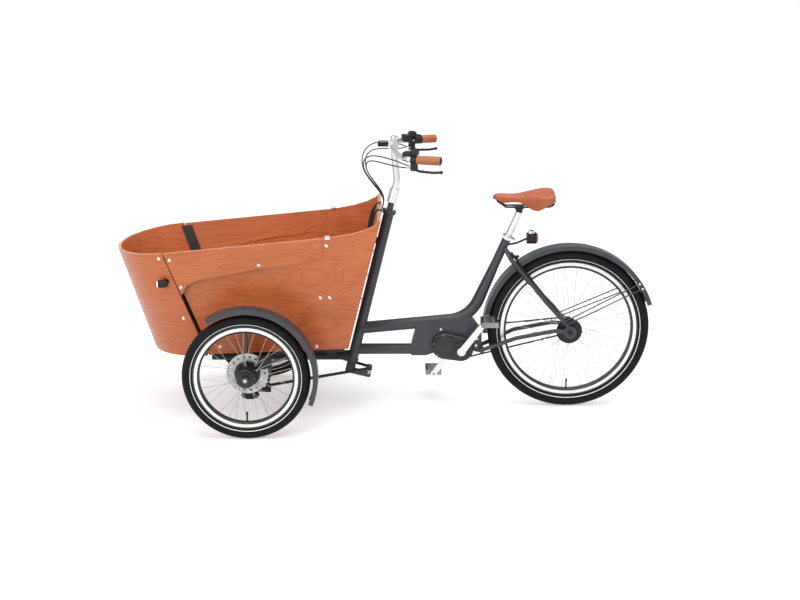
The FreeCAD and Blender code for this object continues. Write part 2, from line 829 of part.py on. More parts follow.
def crank_set():
    """Spindle, both crank arms and the front belt pulley, one turning piece with separate arms."""
    turn = math.radians(S.crank_angle)
    arm = Vector(math.cos(turn), 0, math.sin(turn)) * S.crank_length
    start = CRANK_CENTRE - Y_AXIS * (S.crank_inner - S.running_fit)
    pieces = [cylinder("crank_spindle", "spindle_radius", "(crank_inner - running_fit) * 2", start, Y_AXIS)]
    pedal_eyes = {}
    for side in (-1, 1):
        name = SIDE_NAME[side]
        inner = CRANK_CENTRE + Y_AXIS * side * S.crank_inner
        reach = arm * -side
        eye = cylinder(name + "_crank_eye", "crank_eye_radius", "crank_width", inner, Y_AXIS * side)
        end = cylinder(name + "_crank_end", "pedal_eye_radius", "crank_width", inner + reach, Y_AXIS * side)
        across = Vector(reach.z, 0, -reach.x).normalize()
        web_points = [
            inner + across * S.crank_eye_radius * 0.8,
            inner + reach + across * S.pedal_eye_radius * 0.8,
            inner + reach - across * S.pedal_eye_radius * 0.8,
            inner - across * S.crank_eye_radius * 0.8,
        ]
        web = Part.Face(Part.makePolygon(web_points + web_points[:1])).extrude(Y_AXIS * side * S.crank_width)
        arm_weld = fused(name + "_crank_weld", [eye, end, made(name + "_crank_web", web)])
        hole = cylinder(name + "_pedal_hole", "pedal_axle_radius + running_fit", "crank_width * 2",
                        inner + reach, Y_AXIS * side)
        pieces.append(cut(name + "_crank_arm", arm_weld, hole))
        pedal_eyes[side] = inner + reach
    pulley_corners = [
        ("spindle_radius + running_fit", "0 - belt_offset - belt_width / 2"),
        ("pulley_radius", "0 - belt_offset - belt_width / 2"),
        ("pulley_radius", "0 - belt_offset + belt_width / 2"),
        ("spindle_radius + running_fit", "0 - belt_offset + belt_width / 2"),
    ]
    pieces.append(revolved("front_pulley", pulley_corners, about_y(CRANK_CENTRE)))
    node("crankset", pieces)
    return pedal_eyes


PEDAL_EYES = crank_set()


def pedal(side):
    """Pedal cage turning on its axle; the axle is screwed into the crank arm's eye."""
    name = SIDE_NAME[side]
    out = Y_AXIS * side
    eye = PEDAL_EYES[side]
    axle_length = S.crank_width + 6 + S.pedal_length * 0.9
    axle = made(name + "_pedal_axle", Part.makeCylinder(S.pedal_axle_radius, axle_length, eye, out))
    inner = eye + out * (S.crank_width + 5)
    low_y = min(inner.y, inner.y + side * S.pedal_length)
    corner = Vector(eye.x - S.pedal_width / 2, low_y, eye.z - S.pedal_height / 2)
    cage = block(name + "_pedal_block", ("pedal_width", "pedal_length", "pedal_height"), corner)
    windows = []
    for shift in (-1, 1):
        window = Part.makeBox(S.pedal_width * 0.28, S.pedal_length * 0.72, S.pedal_height * 2)
        x = eye.x + shift * S.pedal_width * 0.29 - S.pedal_width * 0.14
        corner = Vector(x, low_y + S.pedal_length * 0.14, eye.z - S.pedal_height)
        windows.append(made(f"{name}_pedal_window_{shift + 1}", window, Placement(corner, Rotation())))
    frame = cut(name + "_pedal_cage", cage, fused(name + "_pedal_windows", windows))
    node(name + "_pedal", [fused(name + "_pedal_piece", [frame, axle])])


for side in (-1, 1):
    pedal(side)


def belt_drive():
    """Rear sprocket on the hub's right side and the belt around both pulleys."""
    low = "0 - belt_offset - belt_width / 2"
    high = "0 - belt_offset + belt_width / 2"
    bore = "rear_axle_radius + running_fit"
    corners = [(bore, low), ("sprocket_radius", low), ("sprocket_radius", high), (bore, high)]
    node("rear_sprocket", [revolved("sprocket_ring", corners, about_y(REAR_CENTRE))])

    span = CRANK_CENTRE - REAR_CENTRE
    distance = span.Length
    unit = span.normalize()
    normal = Vector(unit.z, 0, -unit.x)

    def loop(extra):
        big = S.pulley_radius + S.seat_gap + extra
        small = S.sprocket_radius + S.seat_gap + extra
        lean = (big - small) / distance
        flat = math.sqrt(1 - lean * lean)
        touch = {}
        for hand in (-1, 1):
            out = normal * (hand * flat) - unit * lean
            touch[hand] = (REAR_CENTRE + out * small, CRANK_CENTRE + out * big)
        edges = [
            Part.LineSegment(touch[1][0], touch[1][1]).toShape(),
            Part.Arc(touch[1][1], CRANK_CENTRE + unit * big, touch[-1][1]).toShape(),
            Part.LineSegment(touch[-1][1], touch[-1][0]).toShape(),
            Part.Arc(touch[-1][0], REAR_CENTRE - unit * small, touch[1][0]).toShape(),
        ]
        wire = Part.Wire(edges)
        wire.translate(Y_AXIS * (S.belt_offset - S.belt_width / 2))
        return Part.Face(wire).extrude(Y_AXIS * S.belt_width)

    node("drive_belt", [made("belt_loop", loop(S.belt_thickness).cut(loop(0)))])


belt_drive()


# Mudguards


def guard(name, gap, half, start, sweep, tyre, centre):
    """A mudguard with turned-down lips, swept about its wheel's axle."""
    inner = f"{tyre}_tyre_radius + {gap}"
    outer = f"{inner} + guard_thickness"
    lip = f"{inner} - guard_lip"
    side = f"{half} - guard_thickness"
    corners = [
        (lip, f"0 - {half}"),
        (outer, f"0 - {half}"),
        (outer, half),
        (lip, half),
        (lip, side),
        (inner, side),
        (inner, f"0 - ({side})"),
        (lip, f"0 - ({side})"),
    ]
    return revolved(name, corners, about_y(centre, start), sweep)


def rear_guard():
    """Rear mudguard with two wire stays on each side."""
    shell = guard("rear_guard_shell", "guard_gap", "rear_guard_half", S.rear_guard_start,
                  "rear_guard_sweep", "rear", REAR_CENTRE)
    pieces = [shell]
    wire = S.guard_wire_radius
    for side in (-1, 1):
        for index, low_z in enumerate((48, 34)):
            foot_y = side * (S.stay_spread + S.stay_radius - 1 + wire + S.seat_gap)
            foot = REAR_CENTRE + Vector(-low_z / 2, foot_y, low_z)
            turn = math.radians(35 - 4 * index)
            radius = S.rear_tyre_radius + S.guard_gap - S.guard_lip / 2
            top = REAR_CENTRE + Vector(radius * math.cos(turn), 0, radius * math.sin(turn))
            top.y = side * (S.rear_guard_half + wire + S.seat_gap / 2)
            knee = foot + (top - foot) * 0.75
            knee.y = side * (S.rear_guard_half + 10)
            stay = bent_bar([foot, knee, top], wire, S.guard_wire_bend)
            pieces.append(made(f"{SIDE_NAME[side]}_guard_wire_{index + 1}", stay))
    node("rear_mudguard", pieces)


rear_guard()


def front_guard(side):
    """Front mudguard, its top bolt, and the bent stay that carries it from the knuckle."""
    name = SIDE_NAME[side] + "_front"
    centre = FRONT_CENTRE[side]
    shell = guard(name + "_guard_shell", "front_guard_gap", "front_guard_half", S.front_guard_start,
                  "front_guard_sweep", "front", centre)
    stay_radius = S.guard_stay_radius
    lip_y = side * (S.track / 2 - S.front_guard_half - stay_radius - S.seat_gap / 2)
    web_y = side * (S.kingpin_spread + S.boss_radius + S.web_thickness / 2 + 1)
    lip_z = S.front_tyre_radius * 2 + S.front_guard_gap - S.guard_lip / 2
    points = [
        Vector(FRONT_X, web_y, S.lug_high),
        Vector(FRONT_X, web_y, S.front_tyre_radius + S.disc_radius + 12),
        Vector(FRONT_X, lip_y, S.front_tyre_radius + S.disc_radius + 90),
        Vector(FRONT_X, lip_y, lip_z),
    ]
    stay = made(name + "_guard_stay", bent_bar(points, stay_radius, 40))
    top = S.front_tyre_radius * 2 + S.front_guard_gap + S.guard_thickness
    crown = Vector(FRONT_X, centre.y, top)
    bolt = cylinder(name + "_guard_bolt", "bolt_radius", "bolt_height", crown, Z_AXIS)
    node(name + "_mudguard", [shell, stay, bolt])


for side in (-1, 1):
    front_guard(side)


# Seat post, clamp and saddle


def seat_group():
    """Seat clamp with its quick-release lever, sliding post, saddle rails and padded saddle."""
    collar_low = -S.clamp_height
    place = along(SEAT_TOP, SEAT_LINE)
    corners = [
        ("seat_tube_radius + running_fit", "0 - clamp_height"),
        ("seat_tube_radius + clamp_wall", "0 - clamp_height"),
        ("seat_tube_radius + clamp_wall", "0"),
        ("seat_tube_radius + running_fit", "0"),
    ]
    ring = revolved("clamp_ring", corners, place)
    rear = S.seat_tube_radius + S.clamp_wall
    ear = Part.makeBox(12, 22, S.clamp_height * 0.8, Vector(rear - 1.5, -11, collar_low * 0.9))
    middle = collar_low / 2
    rod = Part.makeCylinder(3, 36, Vector(rear + 5, -22, middle), Y_AXIS)
    lug = made("clamp_lug", ear.fuse(rod), place)
    node("seat_clamp", [fused("clamp_piece", [ring, lug])])

    hinge = Vector(rear + 5, -22 - S.seat_gap - 5, middle)
    eye = Part.makeCylinder(5, 10, hinge - Z_AXIS * 5, Z_AXIS)
    blade = Part.makeBox(52, 5, 9, hinge + Vector(-54, -4.5, -4.5))
    node("quick_release_lever", [made("release_lever", eye.fuse(blade), place)])

    low = SEAT_TOP - SEAT_LINE * S.post_insert
    length = S.post_insert + S.post_rise
    node("seatpost", [cylinder("seat_post_bar", "post_radius", "post_insert + post_rise", low, SEAT_LINE)])
    top = low + SEAT_LINE * length

    saddle_mid = Vector(top.x - 2, 0, top.z + 22)
    rails = []
    for side in (-1, 1):
        y = side * S.rail_spread
        points = [
            saddle_mid + Vector(-88, y * 0.6, 26),
            saddle_mid + Vector(-52, y, 2),
            saddle_mid + Vector(48, y, 2),
            saddle_mid + Vector(92, y * 1.9, 16),
        ]
        rails.append(bent_bar(points, S.rail_radius, 18))
    head_height = saddle_mid.z + 2 - S.rail_radius - top.z
    head = Part.makeBox(36, 2 * S.rail_spread + 14, 9,
                        saddle_mid + Vector(-18, -S.rail_spread - 7, 2 - S.rail_radius / 2 - 4.5))
    neck = Part.makeCylinder(S.post_radius, head_height + 6, top, Z_AXIS)
    post_room = Part.makeCylinder(S.post_radius + S.running_fit, length, low, SEAT_LINE)
    carrier = head.fuse([neck] + rails).cut(post_room)
    node("saddle_rails", [made("saddle_carrier", carrier)])

    front = top.x - 108
    base = saddle_mid.z + 29
    nose = S.saddle_nose_half
    wing = S.saddle_rear_half
    stations = (
        # share of length, half width, rise of the lower edge, share of the crown's height
        (0.0, 0.55 * nose, 1.0, 0.48),
        (0.12, 0.95 * nose, -6.0, 0.67),
        (0.42, 1.45 * nose, -7.0, 0.72),
        (0.72, 0.84 * wing, -9.0, 0.91),
        (0.90, wing, -7.0, 1.0),
        (1.0, 0.825 * wing, 4.0, 0.91),
    )
    rings = []
    for share, half, lower, crown in stations:
        x = front + share * S.saddle_length
        low_z = base + lower
        high_z = base + crown * S.saddle_height
        shoulder = low_z + (high_z - low_z) * 0.55
        left = Vector(x, -half, shoulder)
        right = Vector(x, half, shoulder)
        edges = [
            Part.Arc(left, Vector(x, 0, high_z), right).toShape(),
            Part.LineSegment(right, Vector(x, half * 0.86, low_z)).toShape(),
            Part.LineSegment(Vector(x, half * 0.86, low_z), Vector(x, -half * 0.86, low_z)).toShape(),
            Part.LineSegment(Vector(x, -half * 0.86, low_z), left).toShape(),
        ]
        rings.append(Part.Wire(edges))
    cushion = Part.makeLoft(rings, True, False)
    node("saddle_pad", [made("saddle_cushion", cushion.cut(carrier))])


seat_group()


# Ring lock and rear lamp


def ring_lock():
    """Horseshoe lock over the rear tyre and mudguard, with its sliding key lever."""
    turn = math.radians(S.lock_turn)
    radial = Vector(math.cos(turn), 0, math.sin(turn))
    across = Vector(radial.z, 0, -radial.x)
    inner = S.rear_guard_half + 3
    wall = S.lock_wall
    deep = S.lock_depth
    far = S.rear_tyre_radius + S.guard_gap + S.guard_thickness + 8
    near = S.rear_rim_seat - S.lock_leg
    place = Placement(REAR_CENTRE, Rotation(across, Y_AXIS, radial, "XYZ"))
    bridge = Part.makeBox(deep, 2 * (inner + wall), S.lock_height, Vector(-deep / 2, -inner - wall, far))
    legs = []
    for side in (-1, 1):
        y = inner if side > 0 else -inner - wall
        legs.append(Part.makeBox(deep, wall, far - near, Vector(-deep / 2, y, near)))
    guard_top = S.rear_tyre_radius + S.guard_gap + S.guard_thickness + S.seat_gap
    saddle_piece = Part.makeBox(deep, 2 * inner, far - guard_top, Vector(-deep / 2, -inner, guard_top))
    body = bridge.fuse(legs + [saddle_piece])
    node("ring_lock", [made("lock_body", body, place)])
    key = Part.makeBox(6, 22, 16, Vector(deep / 2 + S.seat_gap, -inner + 4, far + 7))
    tab = Part.makeCylinder(6, 10, Vector(deep / 2 + S.seat_gap + 5, -inner + 12, far + 15), X_AXIS)
    node("lock_lever", [made("lock_slider", key.fuse(tab), place)])


ring_lock()


def rear_lamp():
    """Rear lamp on a wire stalk behind the seat tube, with its red lens."""
    centre = Vector(ahead(S.rear_lamp_ahead), 0, S.rear_lamp_height)
    mount = SEAT_TOP - SEAT_LINE * 42 + Vector(S.seat_tube_radius - 1, 0, 0)
    radius = S.rear_lamp_radius
    length = S.rear_lamp_length
    body = Part.makeCylinder(radius, length, centre - X_AXIS * length / 2, X_AXIS)
    body = body.fuse(Part.makeSphere(radius * 0.62, centre + Vector(0, 0, radius * 0.8)))
    stalk = bent_bar([mount, mount + Vector(34, 0, 6), centre - X_AXIS * (length / 2 - 4)], 4.0, 22)
    tube_room = Part.makeCylinder(S.seat_tube_radius, (SEAT_TOP - SEAT_JOINT).Length, SEAT_JOINT, SEAT_LINE)
    node("rear_lamp", [made("lamp_body", body.fuse(stalk).cut(tube_room))])
    lens_face = centre + X_AXIS * length / 2
    lens = Part.makeCylinder(radius - 2, S.lens_thickness, lens_face, X_AXIS)
    node("lamp_lens", [made("red_lens", lens)])


rear_lamp()


# Box underframe and lean linkage

BOX_PLACE = Placement(Vector(ahead(S.box_datum), 0, S.box_floor_height), Rotation(Y_AXIS, -S.box_pitch))


def underframe():
    """Spine, hangers with the lower pivot pin, cross beams and rails below the box."""
    start = steer_at_height(S.upper_arm_height)
    spine_end = ahead(S.spine_front)
    front_end = Vector(spine_end, 0, start.z)
    bar = made("spine_bar", Part.makeCylinder(S.spine_radius, start.x - spine_end, front_end, X_AXIS))
    pieces = [cut("spine", bar, head_clearance("spine_trim", "head_radius + head_foot_wall"))]
    low = S.lower_arm_height - S.hanger_margin
    for side in (-1, 1):
        x = FRONT_X + (S.hanger_offset if side > 0 else -S.hanger_offset - S.hanger_thickness)
        height = S.upper_arm_height + S.spine_radius + 8 - low
        plate = made(f"hanger_plate_{side + 1}", Part.makeBox(S.hanger_thickness, 2 * S.hanger_half, height,
                     Vector(x, -S.hanger_half, low)))
        holes = []
        for radius, z in (("spine_radius", S.upper_arm_height), ("lower_pin_radius", S.lower_arm_height)):
            base = Vector(x - S.hanger_thickness, 0, z)
            holes.append(cylinder(f"hanger_{radius}_{side + 1}", f"{radius} + running_fit",
                                  "hanger_thickness * 3", base, X_AXIS))
        pieces.append(cut(f"hanger_{side + 1}", plate, fused(f"hanger_holes_{side + 1}", holes)))
    reach = "(hanger_offset + hanger_thickness * 1.5)"
    pin_start = FRONT_X - S.hanger_offset - S.hanger_thickness * 1.5
    pieces.append(cylinder("lower_pivot_pin", "lower_pin_radius", f"{reach} * 2",
                           Vector(pin_start, 0, S.lower_arm_height), X_AXIS))
    spine_room = Part.makeCylinder(S.spine_radius + S.running_fit, 2 * (start.x - spine_end),
                                   Vector(spine_end - S.spine_radius, 0, start.z), X_AXIS)
    width = S.cross_beam_width
    beams = ((-S.front_beam_place, S.front_beam_half), (-S.rear_beam_place, S.rear_beam_half))
    for index, (u, half) in enumerate(beams):
        foot = BOX_PLACE.multVec(Vector(u, 0, 0)).z - S.upper_arm_height
        beam = Part.makeBox(width, 2 * half, S.cross_beam_height,
                            Vector(u - width / 2, -half, -S.cross_beam_height))
        post = Part.makeBox(width, 2 * S.post_half, foot - S.cross_beam_height / 2,
                            Vector(u - width / 2, -S.post_half, -foot))
        weld = beam.fuse(post)
        weld.Placement = BOX_PLACE
        pieces.append(made(f"cross_beam_{index + 1}", weld.cut(spine_room)))
    for side in (-1, 1):
        y = S.rear_beam_half if side > 0 else -S.rear_beam_half - S.rail_width
        corner = Vector(-S.rail_front, y, -S.rail_depth)
        rail = Part.makeBox(S.rail_length, S.rail_width, S.rail_depth, corner)
        pieces.append(made(SIDE_NAME[side] + "_rail", rail, BOX_PLACE))
    node("box_subframe", pieces)


underframe()


def lean_arm(name, height, pin_radius):
    """Cross arm that rocks on its middle pivot and carries an upright in a clevis at each end."""
    middle = Vector(FRONT_X, 0, height)
    inner_end = S.arm_reach - S.upright_depth / 2 - 8
    bar = Part.makeBox(2 * S.arm_half_width, 2 * inner_end, 2 * S.arm_half_height,
                       middle + Vector(-S.arm_half_width, -inner_end, -S.arm_half_height))
    sleeve = Part.makeCylinder(pin_radius + S.running_fit + S.sleeve_wall, 2 * S.sleeve_half,
                               middle - X_AXIS * S.sleeve_half, X_AXIS)
    welds = [sleeve]
    cheek_inner = S.upright_half + S.pivot_gap
    cheek_length = S.arm_reach - inner_end
    for side in (-1, 1):
        end = middle + Y_AXIS * side * S.arm_reach
        bridge_y = inner_end - 10 if side > 0 else -inner_end
        bridge_half = cheek_inner + S.cheek_thickness
        welds.append(Part.makeBox(2 * bridge_half, 10, 2 * S.arm_half_height,
                                  middle + Vector(-bridge_half, bridge_y, -S.arm_half_height)))
        for hand in (-1, 1):
            x = cheek_inner if hand > 0 else -cheek_inner - S.cheek_thickness
            y = inner_end if side > 0 else -S.arm_reach
            welds.append(Part.makeBox(S.cheek_thickness, cheek_length, 2 * S.arm_half_height,
                                      middle + Vector(x, y, -S.arm_half_height)))
            welds.append(Part.makeCylinder(S.cheek_radius, S.cheek_thickness, end + X_AXIS * x, X_AXIS))
        pin_half = cheek_inner + S.cheek_thickness + 4
        welds.append(Part.makeCylinder(S.arm_pin_radius, 2 * pin_half, end - X_AXIS * pin_half, X_AXIS))
    bore_start = middle - X_AXIS * 2 * S.sleeve_half
    bore = Part.makeCylinder(pin_radius + S.running_fit, 4 * S.sleeve_half, bore_start, X_AXIS)
    node(name, [made(name + "_weld", bar.fuse(welds).cut(bore).removeSplitter())])


lean_arm("lower_arm", S.lower_arm_height, S.lower_pin_radius)
lean_arm("upper_arm", S.upper_arm_height, S.spine_radius)


def upright(side):
    """Post between the two arms, with the boss that holds the kingpin."""
    inner = S.arm_reach - S.upright_depth / 2
    low = S.lower_arm_height - S.arm_pin_radius - 9
    high = S.upper_arm_height + S.arm_pin_radius + 9
    post_y = inner if side > 0 else -inner - S.upright_depth
    post = Part.makeBox(2 * S.upright_half, S.upright_depth, high - low,
                        Vector(FRONT_X - S.upright_half, post_y, low))
    boss_height = S.boss_high - S.boss_low
    boss = Part.makeCylinder(S.boss_radius, boss_height, Vector(FRONT_X, side * S.kingpin_spread, S.boss_low))
    web_length = S.kingpin_spread - S.arm_reach
    web_y = S.arm_reach if side > 0 else -S.kingpin_spread
    web = Part.makeBox(24, web_length, boss_height, Vector(FRONT_X - 12, web_y, S.boss_low))
    body = post.fuse([boss, web])
    pin_foot = Vector(FRONT_X, side * S.kingpin_spread, S.boss_low - boss_height)
    tools = [Part.makeCylinder(S.kingpin_radius + S.running_fit, 3 * boss_height, pin_foot)]
    for height, slack in ((S.lower_arm_height, S.running_fit), (S.upper_arm_height, S.seat_gap)):
        start = Vector(FRONT_X - 100, side * S.arm_reach, height)
        tools.append(Part.makeCylinder(S.arm_pin_radius + slack, 200, start, X_AXIS))
    node(SIDE_NAME[side] + "_upright", [made(SIDE_NAME[side] + "_upright_weld", body.cut(tools))])


def knuckle(side):
    """Steering knuckle with kingpin, stub axle and steering arm, and its brake caliper."""
    name = SIDE_NAME[side]
    pivot = Vector(FRONT_X, side * S.kingpin_spread, 0)
    low_top = S.boss_low - S.seat_gap
    high_foot = S.boss_high + S.seat_gap
    radius = S.boss_radius - 0.5
    lower = Part.makeCylinder(radius, low_top - S.lug_low, pivot + Z_AXIS * S.lug_low)
    upper = Part.makeCylinder(radius, S.lug_high - high_foot, pivot + Z_AXIS * high_foot)
    pin = Part.makeCylinder(S.kingpin_radius, S.lug_high - S.lug_low, pivot + Z_AXIS * S.lug_low)
    web_inner = S.kingpin_spread + S.boss_radius + 1
    web_y = web_inner if side > 0 else -web_inner - S.web_thickness
    web = Part.makeBox(32, S.web_thickness, S.lug_high - S.lug_low, Vector(FRONT_X - 16, web_y, S.lug_low))
    shelves = []
    shelf_y = S.kingpin_spread if side > 0 else -web_inner - S.web_thickness / 2
    shelf_length = web_inner + S.web_thickness / 2 - S.kingpin_spread
    for foot, top in ((S.lug_low, low_top), (high_foot, S.lug_high)):
        shelves.append(Part.makeBox(26, shelf_length, top - foot, Vector(FRONT_X - 13, shelf_y, foot)))
    axle_end = S.track / 2 + S.front_hub_half + S.hub_cap_length * 0.5
    axle = Part.makeCylinder(S.front_axle_radius, axle_end - web_inner,
                             Vector(FRONT_X, side * web_inner, S.front_tyre_radius), Y_AXIS * side)
    arm_low = low_top - S.steering_arm_thickness
    arm_end = pivot + Vector(S.pitman_reach, side * S.pitman_spread, arm_low)
    eye = Part.makeCylinder(S.pitman_end_radius, S.steering_arm_thickness, arm_end)
    toward = (arm_end - pivot - Z_AXIS * arm_low).normalize()
    beside = Vector(-toward.y, toward.x, 0) * S.steering_arm_half
    root = pivot + Z_AXIS * arm_low
    arm_points = [root + beside, arm_end + beside, arm_end - beside, root - beside]
    arm = Part.Face(Part.makePolygon(arm_points + arm_points[:1])).extrude(Z_AXIS * S.steering_arm_thickness)
    weld = lower.fuse([upper, pin, web, axle, eye, arm] + shelves).removeSplitter()

    disc_y = S.track / 2 - S.disc_inset
    gap = S.disc_thickness / 2 + 1.2
    caliper_low = Vector(FRONT_X + 40, 0, S.lug_high)
    inner_y = web_inner + 1
    halves = []
    for near, far in ((inner_y, disc_y - gap), (disc_y + gap, disc_y + gap + 9)):
        y = near if side > 0 else -far
        halves.append(Part.makeBox(34, far - near, 46, Vector(caliper_low.x, y, caliper_low.z)))
    bridge_y = inner_y if side > 0 else -(disc_y + gap + 9)
    bridge = Part.makeBox(12, disc_y + gap + 9 - inner_y, 40,
                          Vector(caliper_low.x + 42, bridge_y, caliper_low.z + 3))
    links = []
    for near, far in ((inner_y, disc_y - gap), (disc_y + gap, disc_y + gap + 9)):
        y = near if side > 0 else -far
        links.append(Part.makeBox(20, far - near, 40, Vector(caliper_low.x + 30, y, caliper_low.z + 3)))
    foot_y = web_inner if side > 0 else -web_inner - S.web_thickness * 0.6
    foot = Part.makeBox(40, S.web_thickness * 0.6, 26, Vector(FRONT_X + 8, foot_y, S.lug_high - 26))
    caliper = halves[0].fuse([halves[1], bridge] + links)
    node(name + "_knuckle", [made(name + "_knuckle_weld", weld.fuse(foot).removeSplitter()),
                             made(name + "_caliper", caliper.cut(weld.fuse(foot)))])


for side in (-1, 1):
    upright(side)
    knuckle(side)


# Drag links from the steering column to the knuckles


def steering_column():
    """Steering column with its crown collar and the pitman plate at its foot."""
    corners = [
        ("0", "column_low"),
        ("crown_radius", "column_low"),
        ("crown_radius", "head_low - seat_gap"),
        ("column_radius", "head_low - seat_gap"),
        ("column_radius", "column_high"),
        ("0", "column_high"),
    ]
    column = revolved("column_bar", corners, STEER_PLACE)
    ends = []
    hull = Part.makeBox(S.pitman_reach, 2 * (S.pitman_spread + S.pitman_end_radius), S.pitman_thickness,
                        Vector(0, -S.pitman_spread - S.pitman_end_radius, S.column_low))
    for side in (-1, 1):
        ends.append(Part.makeCylinder(S.pitman_end_radius, S.pitman_thickness,
                                      Vector(S.pitman_reach, side * S.pitman_spread, S.column_low)))
    plate = made("pitman_plate", hull.fuse(ends), STEER_PLACE)
    node("steering_column", [fused("column_weld", [column, plate])])


steering_column()


def drag_link(side):
    """Ball stud on the pitman plate, and the socketed rod from it to just above the steering arm."""
    name = SIDE_NAME[side]
    plate_top = S.column_low + S.pitman_thickness
    seat = STEER_PLACE.multVec(Vector(S.pitman_reach, side * S.pitman_spread, plate_top))
    start = seat + STEER_DIRECTION * S.ball_height
    foot = seat + STEER_DIRECTION * S.seat_gap
    flange = Part.makeCylinder(S.pitman_end_radius * 0.7, S.ball_flange, foot, STEER_DIRECTION)
    neck = Part.makeCylinder(S.ball_radius / 2, S.ball_height - S.seat_gap, foot, STEER_DIRECTION)
    ball = Part.makeSphere(S.ball_radius, start)
    node(name + "_rod_end", [made(name + "_ball_stud", flange.fuse([neck, ball]))])
    arm_top = S.boss_low - S.seat_gap
    eye = Vector(FRONT_X + S.pitman_reach, side * (S.kingpin_spread + S.pitman_spread), arm_top + S.link_gap)
    cup_foot = start - STEER_DIRECTION * S.link_radius
    cup = Part.makeCylinder(S.cup_radius, 2 * S.link_radius, cup_foot, STEER_DIRECTION)
    end = Part.makeCylinder(S.cup_radius, 2 * S.link_radius, eye, Z_AXIS)
    finish = eye + Z_AXIS * S.link_radius
    rod = Part.makeCylinder(S.link_radius - 1, (finish - start).Length, start, finish - start)
    socket = Part.makeSphere(S.ball_radius + S.running_fit, start)
    mouth = Part.makeCylinder(S.ball_radius * 0.8, S.ball_height, seat, STEER_DIRECTION)
    node(name + "_drag_link", [made(name + "_link_rod", rod.fuse([cup, end]).cut([socket, mouth]))])


for side in (-1, 1):
    drag_link(side)


# Box of bent plywood


def inner_half(u, w):
    """Half width inside the side panels, at a place along the box and a height above its underside."""
    lean = math.tan(math.radians(S.box_lean))
    recess = math.tan(math.radians(S.recess_angle))
    thick = S.ply / math.cos(math.radians(S.box_lean)) / math.cos(math.radians(S.recess_angle))
    return S.box_half - thick + w * lean + (u - S.box_rear_foot) * recess


def rim(u):
    """Height of the box's rim."""
    return S.rim_height + (u + S.band_joint) * S.rim_slope


def seam(w):
    """Place along the box of the joint between the side and the front panel."""
    return -S.seam_foot - S.seam_slope * w


def wall_place(side, recessed):
    """Placement of a side panel, whose outline lies in its local XZ plane."""
    yaw = side * S.recess_angle if recessed else 0.0
    base = Vector(S.box_rear_foot, side * S.box_half, 0)
    turn = Rotation(Z_AXIS, yaw) * Rotation(X_AXIS, -side * S.box_lean)
    return BOX_PLACE * Placement(base, turn)


def slab(corners, side):
    """A ply sheet whose outer face has these corners, given along the box and up the panel."""
    points = [Vector(u - S.box_rear_foot, 0, height) for u, height in corners]
    return Part.Face(Part.makePolygon(points + points[:1])).extrude(Y_AXIS * -side * S.ply)


def joint_shift(height):
    """How far forwards the drawn-in panel's upright edges move with height."""
    return height * math.sin(math.radians(S.box_lean)) * math.sin(math.radians(S.recess_angle))


def seam_up(height):
    """Place of the front seam at a height measured up the leaning panel."""
    return seam(height * math.cos(math.radians(S.box_lean)))


# Points of the side panel's rising rear top: distance ahead of its rear edge, share of the rise
REAR_RISE = ((160.7, 0.058), (101.1, 0.174), (50.5, 0.362), (21.9, 0.549), (3.4, 0.774))


def rear_edge(height):
    """Place along the box of the side panel's rear edge."""
    return S.box_rear_foot + (S.box_rear_top - S.box_rear_foot) * height / S.box_rear_height


def rising_top():
    """Corners of the side panel's top, from the rim up to the rear edge."""
    corners = []
    for back, share in REAR_RISE:
        height = S.rim_height + share * (S.box_rear_height - S.rim_height)
        corners.append((rear_edge(height) - back, height))
    return corners


def band_ledge(edge, side):
    """Strip along the foot of the upper band that closes the step to the drawn-in panel."""
    raised = [(u, height + S.ledge_height) for u, height in reversed(edge)]
    points = [Vector(u - S.box_rear_foot, 0, height) for u, height in edge + raised]
    strip = Part.Face(Part.makePolygon(points + points[:1])).extrude(Y_AXIS * -side * S.ledge_reach)
    strip.Placement = wall_place(side, False)
    length = S.seam_foot + S.nose_top + S.box_rear_foot
    low = -S.ply if side > 0 else -S.box_half
    room = Part.makeBox(length, S.box_half + S.ply, S.box_rear_height, Vector(-length, low, 0))
    room.Placement = wall_place(side, True)
    return strip.common(room)


def side_wall(side):
    """Lower panel, drawn in towards the front, and the upper band flush with the front panel."""
    name = SIDE_NAME[side]
    joint = -S.band_joint
    band_edge = [(-110, 358), (-261, 346), (-374, 330), (-488, 314), (-526, 298), (-550, 262)]
    low_joint = 376.0
    gap = S.seat_gap
    panel_edge = [(u, height - S.pivot_gap) for u, height in band_edge[:5]]
    corners = [
        (S.box_rear_foot, 0),
        (S.box_rear_top, S.box_rear_height),
        *reversed(rising_top()),
        (joint, rim(joint)),
        (joint, low_joint - gap),
        *panel_edge,
        (seam_up(260) + S.ply, 260),
        (seam_up(0) + S.ply, 0),
    ]
    panel = made(name + "_panel", slab(corners, side), wall_place(side, True))
    band_corners = [
        (joint - gap - joint_shift(rim(joint)), rim(joint)),
        (joint - gap - joint_shift(low_joint), low_joint),
        *band_edge,
        (seam_up(256) + S.seam_gap, 256),
        (seam_up(rim(-600)) + S.seam_gap, rim(-600)),
    ]
    board = slab(band_corners, side)
    board.Placement = wall_place(side, False)
    band = made(name + "_band", board.fuse(band_ledge(band_edge[:5], side)))
    return [panel, band]


node("box_side_panels", side_wall(-1) + side_wall(1))


def nose_section(height, shrink):
    """Half ellipse of the front panel at a height: its centre and its two half axes."""
    share = height / S.nose_top_height
    reach = S.nose_foot + (S.nose_top - S.nose_foot) * share - shrink
    half = S.box_half + height * math.tan(math.radians(S.box_lean)) - shrink
    return Vector(seam(height), 0, height), reach, half


def nose_point(turn, height, side):
    """Point of the front panel's outer face, turned from the seam towards the nose."""
    centre, reach, half = nose_section(height, 0)
    return centre + Vector(-reach * math.sin(turn), side * half * math.cos(turn), 0)


